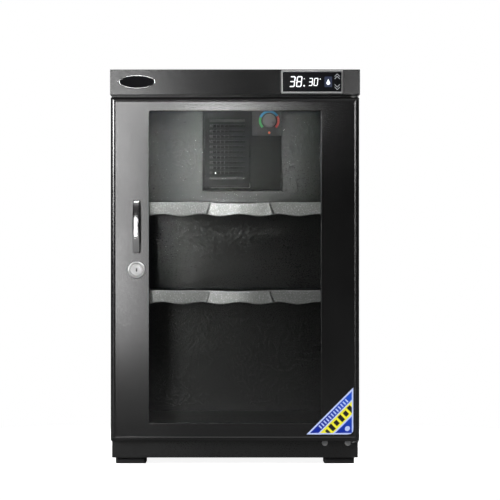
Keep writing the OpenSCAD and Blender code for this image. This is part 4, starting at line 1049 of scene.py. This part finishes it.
def stageFloor(values):
    # a disc that is pale near the object and melts into the white background further out
    mesh = bpy.data.meshes.new("floorDisc")
    count = values["corners"]
    turn = np.linspace(0, 2 * np.pi, count, endpoint=False)
    ring = np.stack((np.cos(turn), np.sin(turn), np.zeros_like(turn)), -1) * values["floorRadius"]
    mesh.from_pydata(ring.tolist(), [], [list(range(count))])
    floor = bpy.data.objects.new("floorDisc", mesh)
    bpy.context.scene.collection.objects.link(floor)
    made = Finish("stageFloor")
    length = made.node("ShaderNodeVectorMath", {"operation": "LENGTH"}, {0: made.place}, "Value")
    fade = length.rise(values["fadeFrom"], values["fadeTo"])
    pale = made.node("ShaderNodeBsdfDiffuse", None, {"Color": grey(values["pale"])})
    glow = made.node("ShaderNodeEmission", None, {"Color": grey(1.0), "Strength": values["shade"]})
    near = made.node("ShaderNodeAddShader", None, {0: pale, 1: glow})
    white = made.node("ShaderNodeEmission", None, {"Color": grey(1.0), "Strength": 1.0})
    seen = made.node("ShaderNodeMixShader", None, {0: fade, 1: near, 2: white})
    dull = made.node("ShaderNodeBsdfDiffuse", None, {"Color": grey(values["dull"])})
    eye = made.node("ShaderNodeLightPath", out="Is Camera Ray")
    mesh.materials.append(made.show(made.node("ShaderNodeMixShader", None, {0: eye, 1: dull, 2: seen})))


sky = {"seen": 1.0, "low": 0.015, "high": 0.6, "climbFrom": 0.7, "climbTo": 0.95}


def skyLight(values):
    # white to the eye; for the object a dim sky, brighter overhead
    world = bpy.data.worlds.new("studio")
    bpy.context.scene.world = world
    world.use_nodes = True
    tree = world.node_tree
    tree.nodes.clear()
    eye = tree.nodes.new("ShaderNodeLightPath")
    place = tree.nodes.new("ShaderNodeTexCoord")
    parts = tree.nodes.new("ShaderNodeSeparateXYZ")
    climb = tree.nodes.new("ShaderNodeMapRange")
    climb.inputs[1].default_value = values["climbFrom"]
    climb.inputs[2].default_value = values["climbTo"]
    climb.inputs[3].default_value = values["low"]
    climb.inputs[4].default_value = values["high"]
    blend = tree.nodes.new("ShaderNodeMix")
    blend.inputs[3].default_value = values["seen"]
    back = tree.nodes.new("ShaderNodeBackground")
    back.inputs["Color"].default_value = grey(1.0)
    end = tree.nodes.new("ShaderNodeOutputWorld")
    tree.links.new(place.outputs["Generated"], parts.inputs[0])
    tree.links.new(parts.outputs["Z"], climb.inputs[0])
    tree.links.new(eye.outputs["Is Camera Ray"], blend.inputs[0])
    tree.links.new(climb.outputs[0], blend.inputs[2])
    tree.links.new(blend.outputs[0], back.inputs["Strength"])
    tree.links.new(back.outputs[0], end.inputs[0])


# each light: where it stands, what it points at, its width and height, its power, how many degrees it
# spreads over, and the pieces it spares or the only ones it lights, so that each reflection lands where
# the picture has it
baySpares = (
    "header_cover_soft", "ceiling_panel_soft", "corner_label", "window_glass", "door_skin_formed",
    "upper_tray_front_wavy", "lower_tray_front_wavy", "handle_bow", "lock_barrel_turned", "lock_plug_turned",
    "display_bezel_formed", "badge_rim_bead", "badge_plate_domed", "display_window",
    "floor_panel_soft", "feet_moulded",
)
lights = {
    "stileStrip": {
        "place": (-0.2575, -1.38, 0.475), "at": (-0.2, -0.18, 0.47), "size": (0.115, 0.64), "power": 1.9,
        "spares": ("display_bezel_formed",),
    },
    "topPatch": {
        "place": (-0.045, -1.38, 0.75), "at": (-0.03, -0.18, 0.6), "size": (0.14, 0.1), "power": 0.052,
        "spread": 24.0,
        "spares": ("header_cover_soft", "ceiling_panel_soft", "handle_bow", "floor_panel_soft",
                   "back_panel_soft"),
    },
    "trayPatch": {
        "place": (-0.11, -1.38, 0.75), "at": (-0.1, -0.18, 0.6), "size": (0.14, 0.1), "power": 2.1,
        "only": ("upper_tray_front_wavy", "lower_tray_front_wavy"),
    },
    "bayWash": {
        "place": (-0.01, -1.38, 0.485), "at": (-0.02, 0.18, 0.56), "size": (0.09, 0.06), "power": 0.042,
        "spread": 14.0, "spares": baySpares,
    },
    "midWash": {
        "place": (-0.16, -1.38, 0.335), "at": (-0.13, 0.18, 0.36), "size": (0.06, 0.04), "power": 0.0015,
        "spread": 7.0, "spares": baySpares,
    },
    "headerGlint": {
        "place": (0.27, -1.38, 0.66), "at": (0.2, -0.18, 0.6), "size": (0.08, 0.08), "power": 0.17,
        "spares": ("door_skin_formed", "window_glass", "display_bezel_formed"),
    },
    "highKey": {
        "place": (1.9, -1.6, 2.7), "at": (0.0, 0.0, 0.3), "size": (1.2, 1.2), "power": 80.0,
        "spares": ("handle_bow",),
    },
    "handleLow": {
        "place": (-0.2575, -1.38, 0.06), "at": (-0.2, -0.18, 0.36), "size": (0.115, 0.19), "power": 0.56,
        "only": ("handle_bow",),
    },
    "leftFill": {
        "place": (-2.6, -2.0, 1.2), "at": (0.0, 0.0, 0.3), "size": (1.2, 1.2), "power": 90.0,
        "spares": ("handle_bow", "display_bezel_formed"),
    },
    "overhead": {
        "place": (0.0, -0.9, 2.6), "at": (0.0, 0.0, 0.4), "size": (1.6, 0.8), "power": 25.0,
        "spares": ("door_skin_formed",),
    },
    "behind": {
        "place": (0.6, 2.6, 1.9), "at": (0.0, 0.0, 0.3), "size": (1.4, 1.4), "power": 60.0,
        "spares": ("header_cover_soft",),
    },
    "rightSheen": {
        "place": (2.8, 1.9, 0.9), "at": (0.0, 0.0, 0.3), "size": (1.6, 1.6), "power": 90.0,
        "spares": ("handle_bow",),
    },
    "leftSheen": {
        "place": (-2.8, 1.9, 0.9), "at": (0.0, 0.0, 0.3), "size": (1.6, 1.6), "power": 90.0,
        "spares": ("door_skin_formed", "handle_bow"),
    },
}


def placeLight(name, values):
    # a flat light turned to its point: the turn and the tilt are the angles of the way to it
    data = bpy.data.lights.new(name, "AREA")
    data.shape = "RECTANGLE"
    data.size = values["size"][0]
    data.size_y = values["size"][1]
    data.energy = values["power"]
    light = bpy.data.objects.new(name, data)
    bpy.context.scene.collection.objects.link(light)
    light.location = values["place"]
    way = np.array(values["at"]) - np.array(values["place"])
    turn = math.atan2(way[1], way[0]) - math.pi / 2
    tilt = math.atan2(way[2], math.hypot(way[0], way[1])) + math.pi / 2
    light.rotation_euler = (tilt, 0.0, turn)
    light.visible_camera = False
    data.spread = math.radians(values.get("spread", 180.0))
    for rule, state in (("spares", "EXCLUDE"), ("only", "INCLUDE")):
        if rule in values:
            chosen = bpy.data.collections.new(name + rule)
            for piece in values[rule]:
                chosen.objects.link(bpy.data.objects[piece])
            for entry in chosen.collection_objects:
                entry.light_linking.link_state = state
            light.light_linking.receiver_collection = chosen


stageFloor(stage)
skyLight(sky)
for name, values in lights.items():
    placeLight(name, values)
print("stage and lights placed")

bpy.context.view_layer.update()
